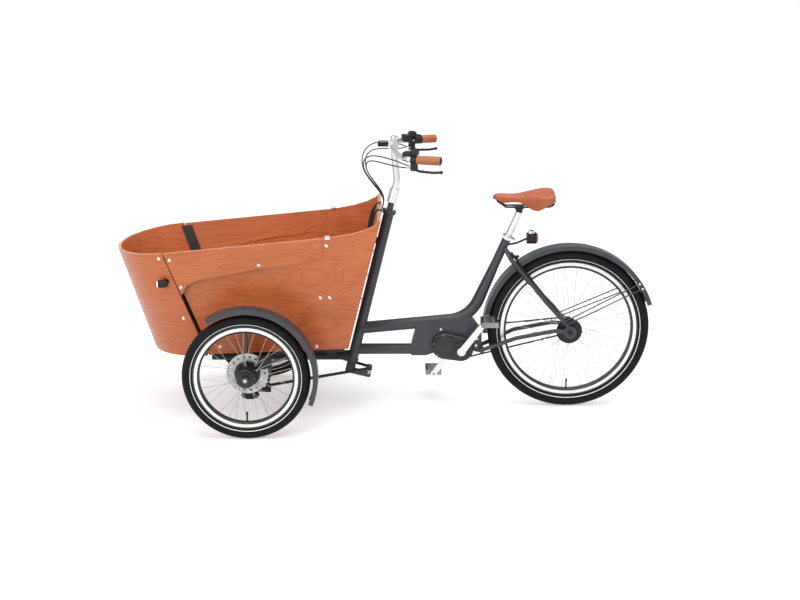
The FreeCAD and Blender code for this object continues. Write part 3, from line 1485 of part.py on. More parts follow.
def half_ellipse(centre, reach, half):
    """Half ellipse round the front of a centre, from right to left, whichever half axis is the longer."""
    if half >= reach:
        ellipse = Part.Ellipse(centre + Y_AXIS * half, centre - X_AXIS * reach, centre)
        return Part.ArcOfEllipse(ellipse, 0, math.pi).toShape()
    ellipse = Part.Ellipse(centre - X_AXIS * reach, centre - Y_AXIS * half, centre)
    return Part.ArcOfEllipse(ellipse, -math.pi / 2, math.pi / 2).toShape()


def nose_edge(height, shrink):
    """Edge of the front panel seen from above, from right to left round the front."""
    return half_ellipse(*nose_section(height, shrink))


def nose_solid():
    """The nose's outer form as one solid, for trimming what stands on it."""
    wires = []
    for height in (0.0, S.rim_height):
        outer = nose_edge(height, -S.seat_gap / 3)
        first = outer.valueAt(outer.FirstParameter)
        last = outer.valueAt(outer.LastParameter)
        wires.append(Part.Wire([outer, Part.LineSegment(last, first).toShape()]))
    return Part.makeLoft(wires, True, True)


def front_panel():
    """Front panel bent round the nose of the box, trimmed to the rim's slope."""
    top = S.rim_height + S.ply
    rings = []
    for height in (0.0, top):
        outer = nose_edge(height, 0)
        inner = nose_edge(height, S.ply)
        ends = [Part.LineSegment(outer.valueAt(outer.FirstParameter), inner.valueAt(inner.FirstParameter)),
                Part.LineSegment(outer.valueAt(outer.LastParameter), inner.valueAt(inner.LastParameter))]
        rings.append(Part.Wire([outer, ends[1].toShape(), inner, ends[0].toShape()]))
    shell = Part.makeLoft(rings, True, True)
    far = -S.seam_foot - 2 * S.nose_top - S.box_half
    points = [Vector(u, -S.box_half * 2, height) for u, height in
              ((far, -1), (0, -1), (0, rim(0)), (far, rim(far)))]
    keep = Part.Face(Part.makePolygon(points + points[:1])).extrude(Y_AXIS * S.box_half * 4)
    node("box_front_panel", [made("nose_panel", shell.common(keep), BOX_PLACE)])


front_panel()


def box_inside():
    """Floor, rear panel, bench board and harness straps inside the box."""
    gap = S.seat_gap
    rear_lean = math.atan2(S.box_rear_top - S.box_rear_foot, S.box_rear_height)
    front_u = seam(0)
    half_front = inner_half(front_u, 0) - gap
    rear_thick = S.ply / math.cos(rear_lean)
    rear_u = S.box_rear_foot - rear_thick - gap
    half_rear = inner_half(rear_u, 0) - gap
    reach = S.nose_foot - S.ply - gap
    half_nose = S.box_half - S.ply - gap
    middle = Vector(front_u, 0, 0)
    edges = [
        Part.LineSegment(Vector(rear_u, half_rear, 0), Vector(front_u, half_front, 0)).toShape(),
        Part.LineSegment(Vector(front_u, half_front, 0), Vector(front_u, half_nose, 0)).toShape(),
        half_ellipse(middle, reach, half_nose),
        Part.LineSegment(Vector(front_u, -half_nose, 0), Vector(front_u, -half_front, 0)).toShape(),
        Part.LineSegment(Vector(front_u, -half_front, 0), Vector(rear_u, -half_rear, 0)).toShape(),
        Part.LineSegment(Vector(rear_u, -half_rear, 0), Vector(rear_u, half_rear, 0)).toShape(),
    ]
    floor = Part.Face(Part.Wire(edges)).extrude(Z_AXIS * S.ply)
    node("box_floor", [made("floor_board", floor, BOX_PLACE)])

    top = S.box_rear_height - S.rear_panel_drop
    corners = []
    for height in (0.0, top):
        u = S.box_rear_foot + height * math.tan(rear_lean) - rear_thick
        half = inner_half(u, height) - gap
        corners.append((u, half, height))
    (u0, half0, low), (u1, half1, high) = corners
    face = [Vector(u0, -half0, low), Vector(u0, half0, low)]
    face += [Vector(u1, half1, high), Vector(u1, -half1, high)]
    rear = Part.Face(Part.makePolygon(face + face[:1])).extrude(X_AXIS * rear_thick)
    node("box_rear_panel", [made("rear_board", rear, BOX_PLACE)])

    bench_low = S.bench_height - S.ply
    back_u = S.box_rear_foot + bench_low * math.tan(rear_lean) - rear_thick - gap
    bench = []
    for u in (back_u, -S.bench_front):
        bench.append((u, inner_half(u, bench_low) - gap))
    points = [Vector(bench[0][0], -bench[0][1], bench_low), Vector(bench[0][0], bench[0][1], bench_low),
              Vector(bench[1][0], bench[1][1], bench_low), Vector(bench[1][0], -bench[1][1], bench_low)]
    board = Part.Face(Part.makePolygon(points + points[:1])).extrude(Z_AXIS * S.ply)
    node("bench_board", [made("bench_plank", board, BOX_PLACE)])

    straps = []
    panel_place = BOX_PLACE * Placement(Vector(S.box_rear_foot - rear_thick, 0, 0),
                                        Rotation(Y_AXIS, math.degrees(rear_lean)))
    strap_low = (S.bench_height + 12) / math.cos(rear_lean)
    strap_high = top / math.cos(rear_lean)
    for side in (-1, 1):
        corner = Vector(-S.strap_thickness - gap, side * S.strap_spread - S.strap_width / 2, strap_low)
        run = Part.makeBox(S.strap_thickness, S.strap_width, strap_high + 6 - strap_low, corner)
        over = Part.makeBox(S.ply + 2 * S.strap_thickness + 2 * gap, S.strap_width, S.strap_thickness,
                            Vector(corner.x, corner.y, strap_high + 6))
        back = Part.makeBox(S.strap_thickness, S.strap_width, 70,
                            Vector(S.ply + gap, corner.y, strap_high + 6 + S.strap_thickness - 70))
        straps.append(made(SIDE_NAME[side] + "_strap", run.fuse([over, back]), panel_place))
    node("harness_straps", straps)


box_inside()


# Places of the dome bolts along the box and up its panels
PANEL_BOLTS = ((-26, 217), (9, 216), (12, 427), (-56, 16), (-430, 30))
BAND_BOLTS = ((-250, 362), (-584, 400), (-552, 289))
NOSE_BOLTS = ((-624, 405), (-556, 160))
NOSE_LAMP = (-607, 313)
SPACER_HEIGHTS = (139, 236, 332)


def dome_bolt(name, place):
    """A low domed bolt head standing on its place's Z axis."""
    ball = S.bolt_radius * 1.6
    dome = Part.makeSphere(ball, Vector(0, 0, S.bolt_height - ball))
    return made(name, Part.makeCylinder(S.bolt_radius, S.bolt_height).common(dome), place)


def on_nose(u, height, side):
    """Point just off the front panel's outer face, and the way straight out of the face there."""
    centre, reach, half = nose_section(height, 0)
    turn = math.asin((centre.x - u) / reach)
    spot = nose_point(turn, height, side)
    around = nose_point(turn + 0.01, height, side) - spot
    upward = nose_point(turn, height + 1, side) - spot
    normal = (around.cross(upward) * side).normalize()
    return spot + normal * S.seat_gap / 3, normal


def joint_plate(side):
    """Tall plate inside the box across the joint of the upper band and the front panel."""
    top = rim(seam(S.rim_height)) - S.plate_margin
    low = S.plate_low
    corners = [
        (seam_up(top) - S.plate_ahead, top),
        (seam_up(top) + S.plate_behind, top),
        (seam_up(low + S.plate_chamfer) + S.plate_behind, low + S.plate_chamfer),
        (seam_up(low) + S.plate_ahead / 2, low),
        (seam_up(low) - S.plate_ahead, low),
    ]
    # The front panel curves in ahead of the joint, so the plate stands off by that much
    centre, reach, half = nose_section(top, S.ply)
    inset = half * (1 - math.sqrt(1 - (S.plate_ahead / reach) ** 2)) + S.seat_gap
    depth = side * (S.ply + inset)
    points = [Vector(u - S.box_rear_foot, -depth, height) for u, height in corners]
    sheet_metal = Part.Face(Part.makePolygon(points + points[:1])).extrude(Y_AXIS * -side * S.plate_thickness)
    return made(SIDE_NAME[side] + "_joint_plate", sheet_metal, wall_place(side, False))


def box_spacer(index, height):
    """Bolt with its spacer sleeve between the rear panel and the head tube."""
    lean = math.atan2(S.box_rear_top - S.box_rear_foot, S.box_rear_height)
    outward = BOX_PLACE.Rotation.multVec(Vector(math.cos(lean), 0, -math.sin(lean)))
    start = BOX_PLACE.multVec(Vector(rear_edge(height), 0, height)) + outward * S.seat_gap / 3
    sleeve = Part.makeCylinder(S.spacer_radius, 2 * S.head_radius + S.spine_radius, start, outward)
    room = Part.makeCylinder(S.head_radius + S.seat_gap / 3, S.head_high - S.head_low,
                             steer_point(S.head_low), STEER_DIRECTION)
    front = min(sleeve.cut(room).Solids, key=lambda solid: solid.CenterOfMass.x)
    return made(f"box_spacer_{index + 1}", front)


def head_lamp(side):
    """Small round lamp on a foot and an arm, its lens to the front."""
    spot, normal = on_nose(*NOSE_LAMP, side)
    foot = Part.makeCylinder(S.lamp_foot_radius, S.lamp_foot_height, spot, normal)
    middle = spot + normal * S.lamp_standoff
    arm = Part.makeCylinder(S.lamp_arm_radius, S.lamp_standoff, spot, normal)
    rear = middle + X_AXIS * S.lamp_length / 3
    shell = Part.makeCone(S.lamp_radius * 0.75, S.lamp_radius, S.lamp_length * 0.4, rear, X_AXIS * -1)
    mouth = rear - X_AXIS * S.lamp_length * 0.4
    hood = Part.makeCylinder(S.lamp_radius, S.lamp_length * 0.6, mouth, X_AXIS * -1)
    panel_room = nose_solid()
    return made(SIDE_NAME[side] + "_head_lamp", foot.fuse([arm, shell, hood]).cut(panel_room), BOX_PLACE)


def box_fittings():
    """Dome bolts on the panels, joint plates, spacers to the head tube and the lamps on the nose."""
    fittings = []
    for side in (-1, 1):
        name = SIDE_NAME[side]
        outward = Rotation(X_AXIS, -90 * side)
        for recessed, bolts in ((True, PANEL_BOLTS), (False, BAND_BOLTS)):
            for index, (u, height) in enumerate(bolts):
                spot = Placement(Vector(u - S.box_rear_foot, side * S.seat_gap / 3, height), outward)
                place = wall_place(side, recessed) * spot
                fittings.append(dome_bolt(f"{name}_bolt_{int(recessed)}_{index}", place))
        for index, (u, height) in enumerate(NOSE_BOLTS):
            spot, normal = on_nose(u, height, side)
            fittings.append(dome_bolt(f"{name}_nose_bolt_{index}", BOX_PLACE * along(spot, normal)))
        fittings.append(joint_plate(side))
    fittings += [box_spacer(index, height) for index, height in enumerate(SPACER_HEIGHTS)]
    node("box_fittings", fittings)
    node("headlamps", [head_lamp(side) for side in (-1, 1)])


box_fittings()


# Handlebar with its stem, grips, levers, shifter and cables

BAR_MIDDLE = Vector(ahead(S.bar_ahead), 0, S.bar_height)


def grip_place(side):
    """Placement at the bar's last bend, with local X along the grip to its open end."""
    base = Vector(ahead(S.grip_ahead), side * S.grip_spread, S.grip_height)
    return Placement(base, Rotation(Z_AXIS, side * S.grip_sweep))


def handlebar():
    """Stem clamped on the steering column and the swept-back bar in its clamp."""
    sleeve_radius = S.column_radius + S.stem_wall
    sleeve = Part.makeCylinder(sleeve_radius, S.stem_height, Vector(0, 0, S.stem_low))
    sleeve.Placement = STEER_PLACE * sleeve.Placement
    foot = steer_point(S.stem_low + S.stem_height - 12)
    riser = bent_bar([foot, foot + STEER_DIRECTION * 46, BAR_MIDDLE], S.column_radius + 1.5, 60)
    grasp = Part.makeCylinder(S.bar_clamp_radius, 2 * S.bar_clamp_half,
                              BAR_MIDDLE - Y_AXIS * S.bar_clamp_half, Y_AXIS)
    column_room = Part.makeCylinder(S.column_radius + S.running_fit, S.column_high,
                                    steer_point(0), STEER_DIRECTION)
    bar_room = Part.makeCylinder(S.bar_radius + S.running_fit, 4 * S.bar_clamp_half,
                                 BAR_MIDDLE - Y_AXIS * 2 * S.bar_clamp_half, Y_AXIS)
    stem = sleeve.fuse([riser, grasp]).cut([column_room, bar_room])
    end = Vector(S.grip_length, 0, 0)
    points = []
    for side in (-1, 1):
        place = grip_place(side)
        half = [
            place.multVec(end),
            place.Base,
            Vector(ahead(S.bar_ahead) + 12, side * (S.grip_spread - 82), S.bar_height - 10),
            BAR_MIDDLE + Y_AXIS * side * (S.bar_clamp_half + 46),
        ]
        points += half if side < 0 else half[::-1]
    bar = bent_bar(points, S.bar_radius, 42)
    node("handlebar", [made("stem", stem), made("bar", bar)])


handlebar()


def bar_sleeve(name, start, length, radius, side):
    """A sleeve on the straight end of the bar."""
    outer = Part.makeCylinder(radius, length, Vector(start, 0, 0), X_AXIS)
    bore = Part.makeCylinder(S.bar_radius + S.running_fit, length, Vector(start, 0, 0), X_AXIS)
    return made(name, outer.cut(bore), grip_place(side))


def grips():
    """Left grip, right grip and the twist shifter inboard of the right grip."""
    shifter_end = S.grip_start + S.shifter_length
    left = bar_sleeve("left_grip", S.grip_start, S.grip_length - S.grip_start, S.grip_radius, -1)
    right_start = shifter_end + S.seat_gap
    right = bar_sleeve("right_grip", right_start, S.grip_length - right_start, S.grip_radius, 1)
    node("grips", [left, right])
    ring = Part.makeCylinder(S.grip_radius + 2, S.shifter_length, Vector(S.grip_start, 0, 0), X_AXIS)
    rib = Part.makeBox(S.shifter_length * 0.6, 8, 5, Vector(S.grip_start + 6, -4, S.grip_radius))
    bore = Part.makeCylinder(S.bar_radius + S.running_fit, S.shifter_length,
                             Vector(S.grip_start, 0, 0), X_AXIS)
    node("twist_shifter", [made("shifter_ring", ring.fuse(rib).cut(bore), grip_place(1))])


grips()

LEVER_PIVOT_X = S.grip_start - 12
LEVER_PIN_RADIUS = 3.0
LEVER_EYE_HALF = 6.0
LEVER_CHEEK = 5.0
CLAMP_WIDTH = 22.0
CLAMP_START = S.grip_start - S.seat_gap - CLAMP_WIDTH


def lever_clamps():
    """Clamps with two cheeks each for the brake levers, and the display on the bar's middle."""
    pieces = []
    for side in (-1, 1):
        start = CLAMP_START
        ring = Part.makeCylinder(S.bar_radius + 6, CLAMP_WIDTH, Vector(start, 0, 0), X_AXIS)
        cheeks = []
        for hand in (-1, 1):
            y = LEVER_EYE_HALF + S.seat_gap if hand > 0 else -LEVER_EYE_HALF - S.seat_gap - LEVER_CHEEK
            corner = Vector(start, y, -S.lever_drop - LEVER_CHEEK)
            cheeks.append(Part.makeBox(CLAMP_WIDTH, LEVER_CHEEK, S.lever_drop + LEVER_CHEEK, corner))
        bar_room = Part.makeCylinder(S.bar_radius + S.running_fit, 60, Vector(start - 20, 0, 0), X_AXIS)
        pin_room = Part.makeCylinder(LEVER_PIN_RADIUS + S.running_fit, 60,
                                     Vector(LEVER_PIVOT_X, -30, -S.lever_drop), Y_AXIS)
        clamp = ring.fuse(cheeks).cut([bar_room, pin_room])
        pieces.append(made(SIDE_NAME[side] + "_lever_clamp", clamp, grip_place(side)))
    corner = Vector(-S.bar_clamp_radius - S.seat_gap - S.display_length, -S.display_width / 2, -2)
    screen = Part.makeBox(S.display_length, S.display_width, S.display_height, corner)
    pieces.append(made("display", screen, Placement(BAR_MIDDLE, Rotation())))
    node("bar_controls", pieces)


lever_clamps()


def brake_lever(side):
    """Brake lever with its pivot pin, hanging below the grip."""
    name = SIDE_NAME[side] + "_brake_lever"
    pivot = Vector(LEVER_PIVOT_X, 0, -S.lever_drop)
    eye = Part.makeCylinder(7, 2 * LEVER_EYE_HALF, pivot - Y_AXIS * LEVER_EYE_HALF, Y_AXIS)
    pin_half = LEVER_EYE_HALF + S.seat_gap + LEVER_CHEEK
    pin = Part.makeCylinder(LEVER_PIN_RADIUS, 2 * pin_half, pivot - Y_AXIS * pin_half, Y_AXIS)
    points = [
        pivot,
        pivot + Vector(24, 0, -7),
        pivot + Vector(S.lever_length * 0.7, 0, -9),
        pivot + Vector(S.lever_length, 0, -6),
    ]
    blade = bent_bar(points, 5.0, 40)
    knob = Part.makeSphere(6.5, points[-1])
    node(name, [made(name + "_blade", eye.fuse([pin, blade, knob]), grip_place(side))])


for side in (-1, 1):
    brake_lever(side)


def cord_radii(points):
    """Arc radii as large as the runs on both sides of each point allow."""
    radii = []
    for before, corner, after in zip(points, points[1:], points[2:]):
        short = min((corner - before).Length, (after - corner).Length)
        turn = math.pi - (before - corner).getAngle(after - corner)
        radii.append(0.45 * short / math.tan(turn / 2))
    return radii


# Share of each cable point that the bar and grips place; the rear panel and steering axis place the rest
BAR_SHARE = (1.0, 0.9, 0.7, 0.45, 0.25, 0.1) + (0.0,) * 9
# Points of each cable after its lever clamp: behind the bar and axis, across, and above the hung height
CABLE_ROUTES = {
    "left_outer": [
        (38, -256, -31), (10.3, -244, -6.2), (-33.5, -218, 43.3), (-77.6, -182, 104.3), (-113, -138, 147.8),
        (-134.2, -94, 169.9), (-137.9, -56, 168.7), (-120, -30, 136.7), (-90.2, -20, 104.7),
        (-58.3, -15, 72.7), (-35.7, -12.5, 41.7), (-30.6, -12, 16.7), (-32.3, -12, -13.3),
        (-32, -12, -67.3), (-30.1, -12, -128.3),
    ],
    "left_inner": [
        (44, -240, -23), (13.9, -228, 9.8), (-32.9, -202, 63.3), (-82.3, -166, 124.3), (-122, -122, 163.8),
        (-146.4, -80, 179.9), (-149.8, -46, 172.7), (-130, -22, 136.7), (-97.7, -11, 102.7),
        (-62.6, -7, 69.7), (-36, -5.5, 38.7), (-30.1, -5, 14.7), (-31.8, -5, -15.3), (-31.8, -5, -68.3),
        (-30.1, -5, -128.3),
    ],
    "right_outer": [
        (38, 256, -33), (10.4, 242, -10.2), (-35.2, 214, 39.3), (-79.3, 176, 102.3), (-115, 132, 147.8),
        (-138.6, 88, 171.9), (-142.4, 54, 166.7), (-124, 32, 132.7), (-93.2, 22, 100.7), (-60.6, 17, 69.7),
        (-36.2, 14, 39.7), (-30.1, 12.5, 14.7), (-31.8, 12, -15.3), (-31.8, 12, -68.3), (-30.1, 12, -128.3),
    ],
    "right_inner": [
        (44, 239, -21), (13.8, 226, 13.8), (-35.4, 198, 69.3), (-85.3, 160, 132.3), (-127.4, 114, 171.8),
        (-153.1, 70, 187.9), (-157.8, 36, 176.7), (-138.5, 14, 138.7), (-103.7, 5, 102.7), (-66.1, 3, 67.7),
        (-37.5, 2.5, 36.7), (-30.6, 2.5, 12.7), (-31.5, 2.5, -16.3), (-31.5, 2.5, -69.3),
        (-30.1, 2.5, -128.3),
    ],
}


def cables():
    """Control cables in one loop from the bar round to the front of the head tube."""
    tubes = []
    panel_top = S.box_rear_height - S.rear_panel_drop
    panel_edge = BOX_PLACE.multVec(Vector(rear_edge(panel_top), 0, panel_top)).z
    for name, route in CABLE_ROUTES.items():
        side = -1 if name.startswith("left") else 1
        cheek = LEVER_EYE_HALF + S.seat_gap + LEVER_CHEEK / 2
        aside = side * cheek if name.endswith("outer") else -side * cheek
        exit_point = grip_place(side).multVec(Vector(CLAMP_START - S.pivot_gap, aside, 6 - S.lever_drop))
        points = [exit_point]
        for (reach, across, rise), share in zip(route, BAR_SHARE):
            height = panel_edge + share * (S.grip_height - panel_edge) + rise
            datum = share * BAR_MIDDLE.x + (1 - share) * steer_at_height(height).x
            points.append(Vector(datum + reach, across, height))
        radii = cord_radii(points)
        path = bent_path(points, radii)
        tube = swept_round(path, S.cable_radius)
        expected = math.pi * S.cable_radius ** 2 * path.Length
        print(name, "cable length", round(path.Length), "least radius", round(min(radii), 1),
              "volume share", round(tube.Volume / expected, 4))
        tubes.append(made(name + "_cable", tube))
    node("control_cables", tubes)


cables()


# Test every object, then write one file for each node


def export_nodes():
    """Stop on any failed object or bad shape, then write the nodes."""
    doc.recompute()
    for item in doc.Objects:
        if "Invalid" in item.State or "Error" in item.State:
            raise RuntimeError(f"{item.Label} failed: {item.State}")
    for item in NODES:
        if item.Shape.isNull() or not item.Shape.isValid() or not item.Shape.Solids:
            raise RuntimeError(f"{item.Label} has no valid solid")
    os.makedirs("parts", exist_ok=True)
    for item in NODES:
        item.Shape.exportStep(f"parts/{item.Label}.step")


export_nodes()
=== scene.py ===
"""Looks of a cargo tricycle: camera, light, cords, soft pieces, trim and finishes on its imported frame."""

import json
import logging
import math
from collections.abc import Iterator, Sequence
from contextlib import contextmanager
from dataclasses import dataclass
from enum import Enum
from functools import cache

import bpy
from mathutils import Matrix, Vector

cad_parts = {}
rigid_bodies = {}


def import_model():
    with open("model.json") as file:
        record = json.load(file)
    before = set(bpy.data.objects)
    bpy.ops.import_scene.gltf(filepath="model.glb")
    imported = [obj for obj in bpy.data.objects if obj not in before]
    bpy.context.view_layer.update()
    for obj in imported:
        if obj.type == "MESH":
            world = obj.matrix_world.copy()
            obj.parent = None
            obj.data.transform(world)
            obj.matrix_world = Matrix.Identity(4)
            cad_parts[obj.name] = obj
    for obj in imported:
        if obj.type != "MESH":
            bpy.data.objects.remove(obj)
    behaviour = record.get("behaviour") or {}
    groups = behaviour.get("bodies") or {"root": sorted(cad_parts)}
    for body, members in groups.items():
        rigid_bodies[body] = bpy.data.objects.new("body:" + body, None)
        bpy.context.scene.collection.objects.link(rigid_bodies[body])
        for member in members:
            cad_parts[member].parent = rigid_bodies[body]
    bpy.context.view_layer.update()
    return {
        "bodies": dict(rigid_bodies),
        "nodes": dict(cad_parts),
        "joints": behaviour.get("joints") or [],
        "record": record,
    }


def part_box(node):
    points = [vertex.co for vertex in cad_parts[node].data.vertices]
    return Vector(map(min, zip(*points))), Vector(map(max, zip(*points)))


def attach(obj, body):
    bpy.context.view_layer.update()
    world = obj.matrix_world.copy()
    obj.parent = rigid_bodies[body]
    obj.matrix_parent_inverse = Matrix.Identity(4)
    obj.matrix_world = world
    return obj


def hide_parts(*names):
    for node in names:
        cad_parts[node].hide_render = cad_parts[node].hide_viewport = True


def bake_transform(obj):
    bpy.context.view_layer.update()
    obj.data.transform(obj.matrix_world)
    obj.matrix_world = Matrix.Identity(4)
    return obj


LOG = logging.getLogger("tricycle")

Point = tuple[float, float, float]
Colour = tuple[float, float, float]
Outline = Sequence[tuple[float, float]]
Frame = dict[str, object]
Obj = bpy.types.Object
Socket = bpy.types.NodeSocket

UP: Point = (0.0, 0.0, 1.0)
DOWN: Point = (0.0, 0.0, -1.0)
AHEAD: Point = (-1.0, 0.0, 0.0)
BEHIND: Point = (1.0, 0.0, 0.0)
BOX_DATUM: Point = (-0.2177, 0.0, 0.310)
BOX_TILT = math.radians(2.862)
RAKE = math.radians(13.77)
REAR_AXLE: Point = (0.7323, 0.0, 0.327)
FRONT_AXLE: Point = (-0.5347, 0.380, 0.244)
SMOOTH_BELOW = math.radians(35)
RING_STEPS = 48
ROUTE_STEPS = 6


class Side(Enum):
    """The rider's two sides, with the sign of their Y."""

    LEFT = -1
    RIGHT = 1

    @property
    def word(self) -> str:
        """The side's name as the nodes use it."""
        return self.name.lower()

    @property
    def out(self) -> Point:
        """The direction away from the middle."""
        return (0.0, float(self.value), 0.0)


class Facing(Enum):
    """How a ply sheet stands.

    Each holds the axis that tells veneer from cut plies, whether veneer looks along it, and which of
    the figure's three spacings lie on X, Y and Z.
    """

    ACROSS = ((0.0, 1.0, 0.0), True, (0, 2, 1))
    UPRIGHT = (UP, False, (0, 1, 2))
    LENGTHWISE = (BEHIND, True, (2, 0, 1))
    LEVEL = (UP, True, (1, 0, 2))


# Material drawing


class Value:
    """A shader output that plain arithmetic works on."""

    def __init__(self, palette: "Palette", socket: Socket) -> None:
        """Keep an output and the palette that it belongs to."""
        self.palette = palette
        self.socket = socket

    def __add__(self, other: object) -> "Value":
        """The sum."""
        return self.palette.calc("ADD", self, other)

    def __sub__(self, other: object) -> "Value":
        """The difference."""
        return self.palette.calc("SUBTRACT", self, other)

    def __mul__(self, other: object) -> "Value":
        """The product."""
        return self.palette.calc("MULTIPLY", self, other)

    def __gt__(self, other: object) -> "Value":
        """1 where it is greater, else 0."""
        return self.palette.calc("GREATER_THAN", self, other)

    def __lt__(self, other: object) -> "Value":
        """1 where it is less, else 0."""
        return self.palette.calc("LESS_THAN", self, other)

    def __abs__(self) -> "Value":
        """The value without its sign."""
        return self.palette.calc("ABSOLUTE", self)

    def sine(self) -> "Value":
        """The sine."""
        return self.palette.calc("SINE", self)

    def between(self, low: float, high: float) -> "Value":
        """1 where it lies between two bounds, else 0."""
        return (self > low) * (self < high)

    def span(self, low: float, high: float) -> "Value":
        """Its range between two bounds, stretched to run from 0 to 1."""
        return self.palette.add("MapRange", {"Value": self, "From Min": low, "From Max": high}, "Result")


class Palette:
    """Draws the nodes of one material or world round its shader."""

    def __init__(self, owner: bpy.types.ID) -> None:
        """Start on a new material or world."""
        owner.use_nodes = True
        self.tree = owner.node_tree
        self.shader = self.tree.nodes.get("Principled BSDF") or self.tree.nodes["Background"]

    def put(self, target: Socket, value: object) -> None:
        """Link a shader output to an input, or set the input's own value.

        Args:
            target: The input to feed.
            value: A shader value, a number, a vector or a colour.
        """
        if isinstance(value, Value):
            self.tree.links.new(value.socket, target)
        else:
            target.default_value = (*value, 1.0) if target.type == "RGBA" else value

    def add(self, kind: str, inputs: dict, output: str | int = 0, **options: object) -> Value:
        """Add a shader node and feed it.

        Args:
            kind: The node type without its prefix.
            inputs: Names or numbers of inputs, with a value for each.
            output: The output that is wanted.
            options: Properties to set on the node.

        Returns:
            The output.
        """
        item = self.tree.nodes.new("ShaderNode" + kind)
        for key, value in options.items():
            setattr(item, key, value)
        for key, value in inputs.items():
            self.put(item.inputs[key], value)
        return Value(self, item.outputs[output])

    def set(self, **values: object) -> None:
        """Feed inputs of the shader, named with underscores for spaces."""
        for key, value in values.items():
            self.put(self.shader.inputs[key.replace("_", " ")], value)

    def calc(self, operation: str, *terms: object) -> Value:
        """One step of arithmetic on values and numbers."""
        return self.add("Math", dict(enumerate(terms)), operation=operation)

    def place(self, scale: Point = (1, 1, 1), move: Point = (0, 0, 0)) -> Value:
        """Object coordinates, stretched and then moved."""
        where = self.add("TexCoord", {}, "Object")
        return self.add("Mapping", {"Vector": where, "Location": move, "Scale": scale}, "Vector")

    def split(self, origin: Point = (0, 0, 0)) -> tuple[Value, ...]:
        """Object X, Y and Z, counted from a point."""
        parts = self.add("SeparateXYZ", {0: self.place(move=tuple(-value for value in origin))})
        return tuple(Value(self, part) for part in parts.socket.node.outputs)

    def round_axle(self, centre: Point) -> tuple[Value, Value, Value]:
        """Radius, turn in radians and distance along an axle that runs along Y."""
        x, y, z = self.split(centre)
        return self.calc("SQRT", x * x + z * z), self.calc("ARCTAN2", z, x), y

    def noise(self, where: Value, scale: float = 1.0, detail: float = 3.0, warp: float = 0.0) -> Value:
        """Smooth noise about 0.5, by its waves for each metre, its octaves and how far it is warped."""
        inputs = {"Vector": where, "Scale": scale, "Detail": detail, "Distortion": warp}
        return self.add("TexNoise", inputs, "Fac")

    def cells(self, where: Value, scale: float, feature: str = "F1") -> Value:
        """A distance in a pattern of so many cells for each metre."""
        return self.add("TexVoronoi", {"Vector": where, "Scale": scale}, "Distance", feature=feature)

    def ramp(self, value: Value, *stops: tuple[float, Colour]) -> Value:
        """A colour for each value.

        Args:
            value: The value to colour.
            stops: Positions and colours, in order.

        Returns:
            The colour.
        """
        colour = self.add("ValToRGB", {"Fac": value}, "Color")
        elements = colour.socket.node.color_ramp.elements
        for index, (position, shade) in enumerate(stops):
            element = elements[index] if index < 2 else elements.new(position)
            element.position = position
            element.color = (*shade, 1.0)
        return colour

    def mix(self, share: Value, first: object, second: object) -> Value:
        """A mix of two colours, by the second one's share."""
        return self.add("Mix", {0: share, 6: first, 7: second}, 2, data_type="RGBA")

    def relief(self, height: Value, strength: float, depth: float) -> None:
        """Raise the surface by a height from 0 to 1, of a depth in metres."""
        inputs = {"Strength": strength, "Distance": depth, "Height": height}
        self.set(Normal=self.add("Bump", inputs, "Normal"))


@dataclass(frozen=True)
class Finish:
    """A surface finish that is drawn as one material, with the name of a record slot for trim that has it,
    which nothing here uses.
    """

    name: str
    slot: str = ""

    def draw(self, palette: Palette) -> None:
        """Lay the finish's nodes."""
        raise NotImplementedError

    @cache
    def material(self) -> bpy.types.Material:
        """The finish's material, drawn once.

        Returns:
            The material.
        """
        made = bpy.data.materials.new(self.name)
        self.draw(Palette(made))
        return made


@dataclass(frozen=True)
class Coat(Finish):
    """Powder coat, paint or moulded plastic with a fine grain."""

    base: Colour = (0.05, 0.05, 0.05)
    worn: Colour = (0.07, 0.07, 0.07)
    rough: float = 0.45
    grain: float = 900.0
    depth: float = 0.00025
    metal: float = 0.0
    coat: float = 0.0
    shine: float = 0.5
    mottle: float = 9.0

    def draw(self, palette: Palette) -> None:
        """Mottle the colour gently and raise the grain.

        Args:
            palette: The material in the making.
        """
        where = palette.place()
        cloud = palette.noise(where, self.mottle, 5.0, 0.4)
        fine = palette.noise(where, self.grain, 2.0)
        colour = palette.ramp(cloud, (0.3, self.base), (0.75, self.worn))
        palette.set(Base_Color=palette.mix(fine.span(0.2, 0.9) * 0.25, colour, self.worn),
                    Roughness=cloud * 0.22 + (self.rough - 0.11), Metallic=self.metal,
                    Specular_IOR_Level=self.shine, Coat_Weight=self.coat, Coat_Roughness=0.2)
        palette.relief(fine, 0.35, self.depth)


@dataclass(frozen=True)
class Metal(Finish):
    """Bare or polished metal with drawn scratches along one direction."""

    base: Colour = (0.75, 0.75, 0.74)
    dull: Colour = (0.55, 0.55, 0.55)
    rough: float = 0.25
    stretch: Point = (40.0, 600.0, 600.0)

    def draw(self, palette: Palette) -> None:
        """Drawn lines in gloss and a little cloud in colour.

        Args:
            palette: The material in the making.
        """
        lines = palette.noise(palette.place(self.stretch))
        cloud = palette.noise(palette.place(), 14.0, 4.0)
        colour = palette.ramp((lines + cloud) * 0.5, (0.35, self.dull), (0.65, self.base))
        palette.set(Base_Color=colour, Metallic=1.0, Roughness=lines * 0.3 + (self.rough - 0.12))
        palette.relief(lines, 0.12, 0.0003)


